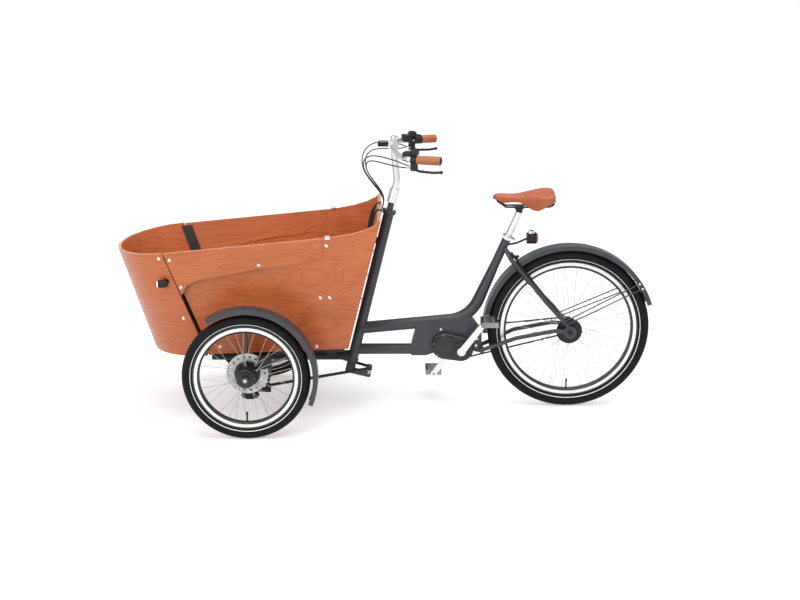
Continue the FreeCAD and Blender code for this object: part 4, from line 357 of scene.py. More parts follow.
@dataclass(frozen=True)
class Veneer(Finish):
    """Lacquered ply: long wavy figure on the broad faces, pale plies on the cut edges."""

    facing: Facing = Facing.ACROSS
    wrap: float | None = None
    light: Colour = (0.60, 0.172, 0.052)
    middle: Colour = (0.47, 0.110, 0.027)
    dark: Colour = (0.30, 0.058, 0.013)
    edge: Colour = (0.70, 0.36, 0.20)
    glue: Colour = (0.46, 0.18, 0.085)
    reach: float = 0.24
    rings: float = 13.0
    growth: Point = (1.5, 9.0, 3.0)
    fibres: Point = (9.0, 260.0, 200.0)
    clouds: Point = (1.0, 3.0, 2.0)
    pores: Point = (60.0, 900.0, 900.0)
    plies: Point = (6.0, 420.0, 650.0)

    def sheet(self, palette: Palette, figure: Point) -> Value:
        """Where a point lies on the sheet, which is unrolled if it wraps round an upright axis.

        Args:
            palette: The material in the making.
            figure: Waves for each metre along the grain, across it and through the sheet.

        Returns:
            The vector to read noise at.
        """
        if self.wrap is None:
            return palette.place(tuple(figure[index] for index in self.facing.value[2]))
        x, y, z = palette.split((self.wrap, 0.0, 0.0))
        turn = palette.calc("ARCTAN2", y, x * -1.0)
        return palette.add("CombineXYZ", {0: turn * (self.reach * figure[0]), 1: z * figure[1]})

    def draw(self, palette: Palette) -> None:
        """Figure, pores, cut plies and lacquer.

        Args:
            palette: The material in the making.
        """
        slow = palette.noise(self.sheet(palette, self.growth), 1.0, 2.0, 0.9)
        fold = abs(palette.calc("FRACT", slow * self.rings) - 0.5)
        fibre = palette.noise(self.sheet(palette, self.fibres), 1.0, 4.0, 0.2)
        cloud = palette.noise(self.sheet(palette, self.clouds), 1.0, 3.0, 0.5)
        tone = (fold * 0.42 + fibre * 0.56) * 0.66 + cloud * 0.40
        broad = palette.ramp(tone, (0.22, self.dark), (0.42, self.middle), (0.72, self.light))
        flecks = palette.noise(self.sheet(palette, self.pores), 1.0, 1.0)
        broad = palette.mix(flecks.span(0.62, 0.8) * 0.35, broad, self.dark)
        plies = palette.noise(self.sheet(palette, self.plies), 1.0, 1.0)
        cut = palette.ramp(plies, (0.42, self.glue), (0.58, self.edge))
        axis, veneer_along, _ = self.facing.value
        normal = palette.add("TexCoord", {}, "Normal")
        tilt = abs(palette.add("VectorMath", {0: normal, 1: axis}, "Value", operation="DOT_PRODUCT"))
        is_cut = tilt < 0.5 if veneer_along else tilt > 0.5
        palette.set(Base_Color=palette.mix(is_cut, broad, cut), Roughness=fibre * 0.18 + 0.28,
                    Coat_Weight=0.12, Coat_Roughness=0.22)
        palette.relief(fibre, 0.16, 0.0004)


@dataclass(frozen=True)
class Tyre(Finish):
    """Black rubber with tread grooves painted darker as painted shade, moulded ribs and a thin pale line on
    the sidewall.
    """

    centre: Point = (0.0, 0.0, 0.0)
    radius: float = 0.3
    line: float = 0.28
    width: float = 0.0026
    crown: float = 0.009
    groove: tuple[float, float] = (0.0045, 0.0065)
    blocks: float = 46.0
    slant: float = 260.0
    ribs: float = 2600.0

    def draw(self, palette: Palette) -> None:
        """Tread by turn and width, grooves painted darker as painted shade, line by radius.

        Args:
            palette: The material in the making.
        """
        radius, turn, across = palette.round_axle(self.centre)
        slots = (turn * self.blocks + abs(across) * self.slant).sine() > 0.72
        grooves = palette.calc("MAXIMUM", slots, abs(across).between(*self.groove))
        tread = grooves * (radius > self.radius - self.crown)
        ribs = (radius * self.ribs).sine() * 0.12
        dust = palette.noise(palette.place(), 60.0, 4.0)
        rubber = palette.ramp(dust, (0.35, (0.006, 0.006, 0.007)), (0.75, (0.013, 0.013, 0.014)))
        # painted shade: the tread grooves are coloured the darkest rubber black
        rubber = palette.mix(tread, rubber, (0.006, 0.006, 0.006))
        line = radius.between(self.line - self.width / 2, self.line + self.width / 2)
        palette.set(Base_Color=palette.mix(line, rubber, (0.84, 0.84, 0.82)),
                    Roughness=dust * 0.25 + 0.52, Specular_IOR_Level=0.15)
        palette.relief(ribs + 0.6 - tread * 0.5, 0.7, 0.0022)


@dataclass(frozen=True)
class RimFinish(Finish):
    """Machined silver band on a black rim."""

    centre: Point = (0.0, 0.0, 0.0)
    low: float = 0.26
    high: float = 0.28
    tool_marks: float = 9000.0

    def draw(self, palette: Palette) -> None:
        """Bright between two radii, black inside and outside them.

        Args:
            palette: The material in the making.
        """
        radius, _, _ = palette.round_axle(self.centre)
        cloud = palette.noise(palette.place(), 30.0)
        bright = palette.ramp(cloud, (0.3, (0.70, 0.70, 0.69)), (0.7, (0.86, 0.86, 0.85)))
        black = palette.ramp(cloud, (0.3, (0.016, 0.016, 0.017)), (0.7, (0.026, 0.026, 0.027)))
        band = radius.between(self.low, self.high)
        palette.set(Base_Color=palette.mix(band, black, bright), Metallic=band * 0.85,
                    Roughness=cloud * 0.2 + 0.24)
        palette.relief((radius * self.tool_marks).sine() * band, 0.05, 0.0002)


@dataclass(frozen=True)
class HubFinish(Finish):
    """Black barrel with bright spokes, disc and cap."""

    centre: Point = (0.0, 0.0, 0.0)
    radius: float = 0.037
    cap: float = 0.0075
    tool_marks: float = 4000.0

    def draw(self, palette: Palette) -> None:
        """Black between the cap's radius and the barrel's.

        Args:
            palette: The material in the making.
        """
        radius, _, _ = palette.round_axle(self.centre)
        barrel = radius.between(self.cap, self.radius)
        grind = palette.noise(palette.place((30.0, 500.0, 30.0)))
        steel = palette.ramp(grind, (0.3, (0.32, 0.32, 0.32)), (0.7, (0.52, 0.52, 0.52)))
        palette.set(Base_Color=palette.mix(barrel, steel, (0.02, 0.02, 0.021)),
                    Metallic=barrel * -0.8 + 1.0, Roughness=grind * 0.25 + 0.2)
        palette.relief((radius * self.tool_marks).sine(), 0.05, 0.0002)


@dataclass(frozen=True)
class Fittings(Finish):
    """Bright bolts and spacers with black joint plates, told apart by the box wall's plane."""

    lean: float = 0.1228
    wall: float = 0.234
    ahead_of: float = -0.3
    above: float = 0.25

    def draw(self, palette: Palette) -> None:
        """Black inside the leaning wall, ahead of the bench and high up, steel elsewhere.

        Args:
            palette: The material in the making.
        """
        x, y, z = palette.split(BOX_DATUM)
        rise = z - x * math.tan(BOX_TILT)
        inside = abs(y) - rise * self.lean < self.wall
        plate = inside * ((x < self.ahead_of) * (rise > self.above))
        grind = palette.noise(palette.place(), 160.0)
        steel = palette.ramp(grind, (0.3, (0.58, 0.58, 0.58)), (0.7, (0.80, 0.80, 0.79)))
        black = palette.ramp(grind, (0.3, (0.012, 0.012, 0.013)), (0.7, (0.024, 0.024, 0.025)))
        palette.set(Base_Color=palette.mix(plate, steel, black), Metallic=plate * -0.9 + 1.0,
                    Roughness=grind * 0.2 + 0.25)
        palette.relief(grind, 0.1, 0.0003)


@dataclass(frozen=True)
class Leather(Finish):
    """Tanned hide with a pebbled grain, creases darkened as painted shade, and lighter wear."""

    base: Colour = (0.40, 0.096, 0.030)
    worn: Colour = (0.50, 0.150, 0.056)
    dark: Colour = (0.26, 0.055, 0.017)
    grain: float = 420.0

    def draw(self, palette: Palette) -> None:
        """Pebbles in relief, wear in broad patches, painted shade along the creases.

        Args:
            palette: The material in the making.
        """
        where = palette.place()
        pebble = palette.cells(where, self.grain)
        shaded_crease = palette.cells(where, self.grain * 0.32, "DISTANCE_TO_EDGE")
        patch = palette.noise(where, 11.0, 5.0, 0.6)
        colour = palette.ramp(patch, (0.16, self.dark), (0.48, self.base), (0.85, self.worn))
        # painted shade: thin crease lines, which have no relief, are mixed toward the dark colour
        palette.set(Base_Color=palette.mix((shaded_crease < 0.035) * 0.45, colour, self.dark),
                    Roughness=patch * -0.2 + 0.55, Sheen_Weight=0.05)
        palette.relief(pebble * -1.0 + 1.0, 0.22, 0.0005)


@dataclass(frozen=True)
class Webbing(Finish):
    """Black woven strap."""

    base: Colour = (0.005, 0.005, 0.006)
    high: Colour = (0.018, 0.018, 0.019)
    warp: float = 3200.0
    weft: float = 2600.0

    def draw(self, palette: Palette) -> None:
        """Crossed ribs of a narrow weave.

        Args:
            palette: The material in the making.
        """
        x, y, z = palette.split()
        weave = ((y * self.warp).sine() * ((z + x) * self.weft).sine()).span(-1.0, 1.0)
        palette.set(Base_Color=palette.ramp(weave, (0.2, self.base), (0.85, self.high)),
                    Roughness=weave.span(-2.0, 1.5), Sheen_Weight=0.04, Specular_IOR_Level=0.2)
        palette.relief(weave, 0.5, 0.0005)


@dataclass(frozen=True)
class Lens(Finish):
    """Glossy moulded lens with fine ribs."""

    base: Colour = (0.5, 0.01, 0.012)
    bright: Colour = (0.75, 0.05, 0.05)
    ribs: float = 900.0

    def draw(self, palette: Palette) -> None:
        """Ribs in relief under a clear coat.

        Args:
            palette: The material in the making.
        """
        _, y, z = palette.split()
        facet = ((y * self.ribs).sine() * (z * self.ribs).sine()).span(-1.0, 1.0)
        palette.set(Base_Color=palette.ramp(facet, (0.2, self.base), (0.9, self.bright)),
                    Roughness=facet.span(-4.0, 8.0), Coat_Weight=1.0, Coat_Roughness=0.04)
        palette.relief(facet, 0.3, 0.0008)


FRAME_COAT = Coat("anthracite_coat", "", (0.028, 0.033, 0.039), (0.042, 0.047, 0.054),
                  rough=0.46, grain=800.0, depth=0.0002, metal=0.1, coat=0.1)
BLACK_COAT = Coat("black_coat", "", (0.009, 0.009, 0.010), (0.018, 0.018, 0.020),
                  rough=0.42, grain=700.0, depth=0.0002, coat=0.05, shine=0.3)
MOTOR_COAT = Coat("motor_coat", "motor_paint", (0.020, 0.021, 0.023), (0.034, 0.035, 0.038),
                  rough=0.5, grain=1400.0, depth=0.0003, metal=0.2)
BLACK_PLASTIC = Coat("black_plastic", "black_plastic", (0.007, 0.007, 0.008), (0.013, 0.013, 0.014),
                     rough=0.48, grain=1600.0, depth=0.0003, shine=0.3)
GLOSS_BLACK = Coat("display_glass", "black_plastic", (0.008, 0.009, 0.011), (0.012, 0.013, 0.016),
                   rough=0.18, grain=60.0, depth=0.00002, coat=0.6)
BELT_RUBBER = Coat("belt_rubber", "black_plastic", (0.014, 0.014, 0.015), (0.026, 0.026, 0.027),
                   rough=0.7, grain=500.0, depth=0.0006)
CABLE_SHEATH = Coat("cable_sheath", "cable", (0.010, 0.010, 0.011), (0.020, 0.020, 0.021),
                    rough=0.38, grain=300.0, depth=0.0001)
SATIN_SILVER = Metal("satin_silver", "silver", (0.80, 0.80, 0.79), (0.66, 0.66, 0.66), 0.30)
POLISHED = Metal("polished_silver", "", (0.82, 0.82, 0.82), (0.66, 0.66, 0.66), 0.30, (30.0, 300.0, 60.0))
STEEL = Metal("bright_steel", "steel", (0.74, 0.74, 0.73), (0.55, 0.55, 0.55), 0.28)
PEDAL_STEEL = Metal("pedal_steel", "", (0.34, 0.34, 0.35), (0.20, 0.20, 0.21), 0.34)
CHROME = Metal("chrome", "silver", (0.90, 0.90, 0.90), (0.84, 0.84, 0.84), 0.14, (20.0, 20.0, 20.0))
TAN_LEATHER = Leather("tan_leather", "tan_leather")
GRIP_LEATHER = Leather("grip_leather", "tan_leather", (0.37, 0.108, 0.040), (0.46, 0.160, 0.066),
                       (0.25, 0.068, 0.024), 650.0)
PIPING_LEATHER = Leather("piping_leather", "tan_leather", grain=900.0)
BLACK_WEBBING = Webbing("black_webbing", "webbing")
RED_LENS = Lens("red_lens", "red_lens")
CLEAR_LENS = Lens("clear_lens", "lamp_glass", (0.55, 0.57, 0.60), (0.90, 0.91, 0.92), 1100.0)
SIDE_VENEER = Veneer("side_veneer", edge=(0.62, 0.24, 0.11), glue=(0.50, 0.15, 0.055))
NOSE_VENEER = Veneer("nose_veneer", facing=Facing.UPRIGHT, wrap=-0.74)
REAR_VENEER = Veneer("rear_veneer", facing=Facing.LENGTHWISE)
FLOOR_VENEER = Veneer("floor_veneer", facing=Facing.LEVEL)
BOX_FITTINGS = Fittings("box_fittings")


# Modelling by hand


def deselect() -> None:
    """Leave edit mode and select nothing."""
    if bpy.context.object and bpy.context.object.mode != "OBJECT":
        bpy.ops.object.mode_set(mode="OBJECT")
    bpy.ops.object.select_all(action="DESELECT")


def take(obj: Obj) -> None:
    """Make an object the only selected and the active one."""
    deselect()
    obj.select_set(True)
    bpy.context.view_layer.objects.active = obj


@contextmanager
def editing(obj: Obj, mode: str = "FACE") -> Iterator[None]:
    """Work on an object in edit mode.

    Args:
        obj: The mesh object.
        mode: What is selected: VERT, EDGE or FACE.

    Returns:
        A context that ends in object mode.
    """
    take(obj)
    bpy.context.tool_settings.mesh_select_mode = tuple(kind == mode for kind in ("VERT", "EDGE", "FACE"))
    bpy.ops.object.mode_set(mode="EDIT")
    yield
    bpy.ops.object.mode_set(mode="OBJECT")


def clean(obj: Obj) -> Obj:
    """Merge doubles and point every face outwards.

    Args:
        obj: The mesh object.

    Returns:
        The same object.
    """
    with editing(obj, "VERT"):
        bpy.ops.mesh.select_all(action="SELECT")
        bpy.ops.mesh.remove_doubles(threshold=1e-6)
        bpy.ops.mesh.normals_make_consistent(inside=False)
    return obj


def modify(obj: Obj, kind: str, **settings: object) -> None:
    """Apply a modifier at once.

    Args:
        obj: The mesh object.
        kind: The modifier's type.
        settings: Its properties.
    """
    modifier = obj.modifiers.new(kind.lower(), kind)
    for key, value in settings.items():
        setattr(modifier, key, value)
    take(obj)
    bpy.ops.object.modifier_apply(modifier=modifier.name)


def toward(base: Sequence[float], direction: Sequence[float]) -> Matrix:
    """Placement at base whose Z axis points along a direction."""
    turn = Vector(direction).to_track_quat("Z", "Y").to_matrix().to_4x4()
    return Matrix.Translation(Vector(base)) @ turn


def raked(base: Sequence[float]) -> Matrix:
    """Placement at base that leans back with the head tube and the box's rear panel."""
    return Matrix.Translation(Vector(base)) @ Matrix.Rotation(RAKE, 4, "Y")


def lathe(profile: Outline, sides: int = 32) -> Obj:
    """A turned shape: a disc drawn up along Z step by step.

    Args:
        profile: Heights along the axis and radii, in metres.
        sides: Sides of the round.

    Returns:
        The shape.
    """
    deselect()
    height, radius = profile[0]
    foot = (0, 0, height)
    bpy.ops.mesh.primitive_circle_add(vertices=sides, radius=radius, fill_type="NGON", location=foot)
    obj = bpy.context.active_object
    bpy.ops.object.transform_apply(location=True)
    with editing(obj):
        bpy.ops.mesh.select_all(action="SELECT")
        for (low, narrow), (high, wide) in zip(profile, profile[1:]):
            bpy.ops.mesh.extrude_region_move(TRANSFORM_OT_translate={"value": (0, 0, high - low)})
            ratio = wide / narrow
            bpy.ops.transform.resize(value=(ratio, ratio, 1.0), center_override=(0, 0, high))
    return clean(obj)


def hoop(section: Outline) -> Obj:
    """A closed ring: a flat section spun about the Z axis.

    Args:
        section: Radii and heights of the section's corners.

    Returns:
        The shape.
    """
    deselect()
    bpy.ops.mesh.primitive_circle_add(vertices=len(section), radius=0.01, fill_type="NOTHING")
    obj = bpy.context.active_object
    for corner, (radius, height) in zip(obj.data.vertices, section):
        corner.co = (radius, 0.0, height)
    with editing(obj, "VERT"):
        bpy.ops.mesh.select_all(action="SELECT")
        bpy.ops.mesh.spin(steps=RING_STEPS, angle=2 * math.pi, center=(0, 0, 0), axis=UP)
    return clean(obj)


def block(size: Point, round_off: float) -> Obj:
    """A block with all its edges rounded.

    Args:
        size: Length, width and height.
        round_off: Radius of the edges.

    Returns:
        The shape.
    """
    deselect()
    bpy.ops.mesh.primitive_cube_add(size=1.0)
    obj = bpy.context.active_object
    with editing(obj, "EDGE"):
        bpy.ops.mesh.select_all(action="SELECT")
        bpy.ops.transform.resize(value=size, center_override=(0, 0, 0))
        bpy.ops.mesh.bevel(offset=round_off, segments=3, affect="EDGES")
    return obj


def recess(obj: Obj, facing: Point, rim: float, depth: float, least: float = 0.9) -> Obj:
    """Inset the faces that look one way and sink them.

    Args:
        obj: The mesh object.
        facing: The way that they look.
        rim: Width of the rim that stays.
        depth: How far they sink, or rise if negative.
        least: How nearly they look that way, as a cosine.

    Returns:
        The same object.
    """
    for part in (obj.data.vertices, obj.data.edges):
        part.foreach_set("select", [False] * len(part))
    for face in obj.data.polygons:
        face.select = face.normal.dot(Vector(facing)) > least
    with editing(obj):
        bpy.ops.mesh.inset(thickness=rim, depth=0.0)
        bpy.ops.mesh.extrude_region_move(TRANSFORM_OT_translate={"value": tuple(Vector(facing) * -depth)})
    return obj


def ribbon(columns: Sequence[Sequence[Vector]], thickness: float, soft: bool = False) -> Obj:
    """A strip drawn out from one cross line to the next, then given its thickness.

    Args:
        columns: Two ends of each cross line, in order.
        thickness: The strip's thickness.
        soft: Whether its bends are smoothed.

    Returns:
        The strip.
    """
    deselect()
    bpy.ops.mesh.primitive_plane_add(size=0.01)
    obj = bpy.context.active_object
    for vertex, corner in zip(obj.data.vertices, (*columns[0], *columns[1])):
        vertex.co = corner
    for before, after in zip(columns[1:], columns[2:]):
        count = len(obj.data.vertices)
        tail = {v.index for v in obj.data.vertices if min((v.co - end).length for end in before) < 1e-6}
        for part in (obj.data.polygons, obj.data.edges, obj.data.vertices):
            part.foreach_set("select", [False] * len(part))
        for edge in obj.data.edges:
            edge.select = set(edge.vertices) <= tail
        step = (after[0] + after[1] - before[0] - before[1]) / 2
        with editing(obj, "EDGE"):
            bpy.ops.mesh.extrude_region_move(TRANSFORM_OT_translate={"value": tuple(step)})
        for vertex in obj.data.vertices[count:]:
            vertex.co = min(after, key=lambda end: (end - vertex.co).length)
    modify(obj, "SOLIDIFY", thickness=thickness, offset=0.0)
    if soft:
        modify(obj, "SUBSURF", levels=1, render_levels=1)
    return clean(obj)


def tube(points: Sequence[Sequence[float]], radius: float) -> tuple[Obj, list[Vector]]:
    """A round tube along a smooth line.

    Args:
        points: The line's control points.
        radius: The tube's radius.

    Returns:
        The tube's mesh object, and the points that it follows.
    """
    data = bpy.data.curves.new("route", "CURVE")
    data.dimensions = "3D"
    line = data.splines.new("NURBS")
    line.points.add(len(points) - 1)
    for control, point in zip(line.points, points):
        control.co = (*point, 1.0)
    line.order_u = 3
    line.use_endpoint_u = True
    line.resolution_u = ROUTE_STEPS
    curve = bpy.data.objects.new("route", data)
    bpy.context.scene.collection.objects.link(curve)
    path = [vertex.co.copy() for vertex in bpy.data.meshes.new_from_object(curve).vertices]
    data.bevel_depth = radius
    data.bevel_resolution = 3
    data.use_fill_caps = True
    obj = bpy.data.objects.new("tube", bpy.data.meshes.new_from_object(curve))
    bpy.context.scene.collection.objects.link(obj)
    bpy.data.objects.remove(curve)
    return clean(obj), path


def finished(obj: Obj, name: str, body: str, finish: Finish, place: Matrix = Matrix()) -> Obj:
    """Set a shape in its place, and give it its name, surface and body.

    Args:
        obj: The shape, in its own frame.
        name: The piece's name.
        body: The body that carries it, or nothing for a piece that runs between two bodies, which is left
            unattached.
        finish: The surface.
        place: Where the shape's frame stands.

    Returns:
        The piece, at the origin.
    """
    obj.name = name
    obj.data.name = name
    take(obj)
    obj.matrix_world = place @ obj.matrix_world
    bpy.ops.object.transform_apply(location=True, rotation=True, scale=True)
    bpy.ops.object.shade_smooth_by_angle(angle=SMOOTH_BELOW)
    obj.data.materials.clear()
    obj.data.materials.append(finish.material())
    if body:
        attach(obj, body)
    LOG.info("piece %s on %s in %s", name, body or "two bodies", finish.name)
    return obj


def screw(name: str, radius: float, height: float, place: Matrix, body: str = "frame") -> None:
    """A domed steel screw head with a sunk socket.

    Args:
        name: The piece's name.
        radius: Head radius.
        height: Head height.
        place: Where its foot stands.
        body: The body that carries it.
    """
    profile = ((0.0, radius), (height * 0.55, radius), (height * 0.9, radius * 0.8), (height, radius * 0.55))
    head = recess(lathe(profile, 18), UP, radius * 0.12, height * 0.45, least=0.98)
    finished(head, name, body, STEEL, place)


# Sub-assemblies


@dataclass
class Studio:
    """Camera of the picture, pale floor and soft light.

    A row of lamps has a name, its place, what it shines at, the side of its square and its watts.
    """

    position: Point = (0.0080, -5.2042, 1.833)
    pitch: float = math.radians(14.927)
    yaw: float = math.radians(0.474)
    roll: float = math.radians(0.086)
    lens: float = 60.16
    sight: float = 300.0
    floor_size: float = 180.0
    floor_drop: float = 0.0004
    floor_grey: float = 0.80
    near_glow: float = 0.40
    more_far: float = 0.22
    fade: tuple[float, float] = (2.0, 9.0)
    surround: float = 0.62
    lamps: tuple[tuple[str, Point, Point, float, float], ...] = (
        ("overhead_lamp", (0.2, -0.8, 4.2), (0.0, 0.0, 0.4), 4.0, 130.0),
        ("front_lamp", (-2.6, -4.2, 2.6), (-0.2, 0.0, 0.5), 2.6, 90.0))

    def hang(self, name: str, data: bpy.types.ID, place: Point, ahead: Vector, roll: float = 0.0) -> Obj:
        """Put a camera or a lamp in the scene.

        Args:
            name: Its name.
            data: The camera or lamp.
            place: Where it hangs.
            ahead: Where it looks or shines.
            roll: Its turn about that direction.

        Returns:
            The object.
        """
        obj = bpy.data.objects.new(name, data)
        bpy.context.scene.collection.objects.link(obj)
        turn = ahead.to_track_quat("-Z", "Y").to_matrix().to_4x4()
        obj.matrix_world = Matrix.Translation(Vector(place)) @ turn @ Matrix.Rotation(roll, 4, "Z")
        return obj

    def camera(self) -> None:
        """Place the camera."""
        data = bpy.data.cameras.new("picture_camera")
        data.lens = self.lens
        data.clip_end = self.sight
        level = math.cos(self.pitch)
        ahead = Vector((math.sin(self.yaw) * level, math.cos(self.yaw) * level, -math.sin(self.pitch)))
        bpy.context.scene.camera = self.hang("picture_camera", data, self.position, ahead, self.roll)

    def floor(self) -> None:
        """Lay the floor, white to the camera and shaded by the object."""
        deselect()
        bpy.ops.mesh.primitive_plane_add(size=self.floor_size, location=(0, 0, -self.floor_drop))
        obj = bpy.context.active_object
        obj.name = "studio_floor"
        bpy.ops.object.transform_apply(location=True)
        material = bpy.data.materials.new("studio_floor")
        palette = Palette(material)
        palette.tree.nodes.remove(palette.shader)
        shade = palette.add("BsdfDiffuse", {"Color": (self.floor_grey,) * 3})
        seen = palette.calc("MAXIMUM", *(palette.add("LightPath", {}, ray) for ray in
                                         ("Is Camera Ray", "Is Glossy Ray")))
        away = palette.add("VectorMath", {0: palette.place()}, "Value", operation="LENGTH")
        glow = away.span(*self.fade) * self.more_far + self.near_glow
        light = palette.add("Emission", {"Color": (1.0, 1.0, 1.0), "Strength": seen * glow})
        surface = palette.tree.nodes["Material Output"].inputs["Surface"]
        palette.put(surface, palette.add("AddShader", {0: shade, 1: light}))
        obj.data.materials.append(material)

    def light(self) -> None:
        """White surroundings, a large lamp overhead and one from the front left."""
        world = bpy.data.worlds.new("studio_world")
        palette = Palette(world)
        seen = palette.calc("MAXIMUM", *(palette.add("LightPath", {}, ray) for ray in
                                         ("Is Camera Ray", "Is Transmission Ray")))
        palette.set(Color=(1.0, 1.0, 1.0), Strength=seen * (1.0 - self.surround) + self.surround)
        bpy.context.scene.world = world
        for name, place, aim, size, power in self.lamps:
            data = bpy.data.lights.new(name, "AREA")
            data.size = size
            data.energy = power
            self.hang(name, data, place, Vector(aim) - Vector(place))

    def build(self) -> None:
        """Set the scene up."""
        bpy.context.scene.view_settings.view_transform = "Standard"
        self.camera()
        self.floor()
        self.light()


CABLE_ROUTES: dict[str, tuple[Point, ...]] = {
    "left_outer": (
        (0.0864, -0.2681, 1.0260), (0.0623, -0.256, 1.025), (0.0383, -0.244, 1.027), (0.0023, -0.218, 1.031),
        (-0.0317, -0.182, 1.035), (-0.0597, -0.138, 1.033), (-0.0777, -0.094, 1.021),
        (-0.0837, -0.056, 0.997), (-0.0737, -0.030, 0.965), (-0.0517, -0.020, 0.933),
        (-0.0277, -0.015, 0.901), (-0.0127, -0.0125, 0.870), (-0.0137, -0.012, 0.845),
        (-0.0227, -0.012, 0.815), (-0.0357, -0.012, 0.761), (-0.0487, -0.012, 0.700)),
    "left_inner": (
        (0.0925, -0.2516, 1.0260), (0.0683, -0.240, 1.033), (0.0423, -0.228, 1.043), (0.0043, -0.202, 1.051),
        (-0.0337, -0.166, 1.055), (-0.0657, -0.122, 1.049), (-0.0877, -0.080, 1.031),
        (-0.0947, -0.046, 1.001), (-0.0837, -0.022, 0.965), (-0.0597, -0.011, 0.931),
        (-0.0327, -0.007, 0.898), (-0.0137, -0.0055, 0.867), (-0.0137, -0.005, 0.843),
        (-0.0227, -0.005, 0.813), (-0.0357, -0.005, 0.760), (-0.0487, -0.005, 0.700)),
    "right_outer": (
        (0.0864, 0.2681, 1.0260), (0.0623, 0.256, 1.023), (0.0383, 0.242, 1.023), (0.0003, 0.214, 1.027),
        (-0.0337, 0.176, 1.033), (-0.0617, 0.132, 1.033), (-0.0817, 0.088, 1.023), (-0.0887, 0.054, 0.995),
        (-0.0787, 0.032, 0.961), (-0.0557, 0.022, 0.929), (-0.0307, 0.017, 0.898), (-0.0137, 0.014, 0.868),
        (-0.0137, 0.0125, 0.843), (-0.0227, 0.012, 0.813), (-0.0357, 0.012, 0.760), (-0.0487, 0.012, 0.700)),
    "right_inner": (
        (0.0925, 0.2516, 1.0260), (0.0683, 0.239, 1.035), (0.0423, 0.226, 1.047), (0.0023, 0.198, 1.057),
        (-0.0357, 0.160, 1.063), (-0.0697, 0.114, 1.057), (-0.0927, 0.070, 1.039), (-0.1017, 0.036, 1.005),
        (-0.0917, 0.014, 0.967), (-0.0657, 0.005, 0.931), (-0.0367, 0.003, 0.896), (-0.0157, 0.0025, 0.865),
        (-0.0147, 0.0025, 0.841), (-0.0227, 0.0025, 0.812), (-0.0357, 0.0025, 0.759),
        (-0.0487, 0.0025, 0.700)),
}


@dataclass
class CableLoom:
    """Four control cables from the lever clamps round to the front of the head tube."""

    radius: float = 0.0024
    low: Point = (-0.03, 0.0, 0.74)
    high: Point = (0.01, 0.0, 0.90)
    ferrule: Outline = ((0.0, 0.0034), (0.010, 0.0034), (0.013, 0.0029), (0.018, 0.0027))
    ferrule_back: float = 0.0008
    guide: Point = (0.0125, 0.036, 0.022)
    guide_place: Point = (-0.0482, 0.0, 0.6935)

    def build(self) -> None:
        """Draw the cables, their end sleeves and the guide on the head tube."""
        for index, (name, points) in enumerate(CABLE_ROUTES.items()):
            cable, path = tube(points, self.radius)
            finished(cable, name + "_cable", "", CABLE_SHEATH)
            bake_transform(cable)
            if index == 0:
                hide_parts("control_cables")
            2 * self.radius
            start = path[0] + (path[0] - path[1]).normalized() * self.ferrule_back
            place = toward(start, path[2] - path[0])
            finished(lathe(self.ferrule, 16), name + "_ferrule", "steering", STEEL, place)
        guide = recess(block(self.guide, 0.003), UP, 0.002, 0.003)
        finished(guide, "cable_guide", "frame", BLACK_PLASTIC, raked(self.guide_place))


def box_point(u: float, v: float, w: float) -> Vector:
    """A place in the cargo box's own tilted frame.

    Args:
        u: Distance to the rear of the box's datum.
        v: Distance to the right.
        w: Height above the box's underside.

    Returns:
        The point in metres.
    """
    x, y, z = BOX_DATUM
    cos, sin = math.cos(BOX_TILT), math.sin(BOX_TILT)
    return Vector((x + u * cos - w * sin, y + v, z + u * sin + w * cos))


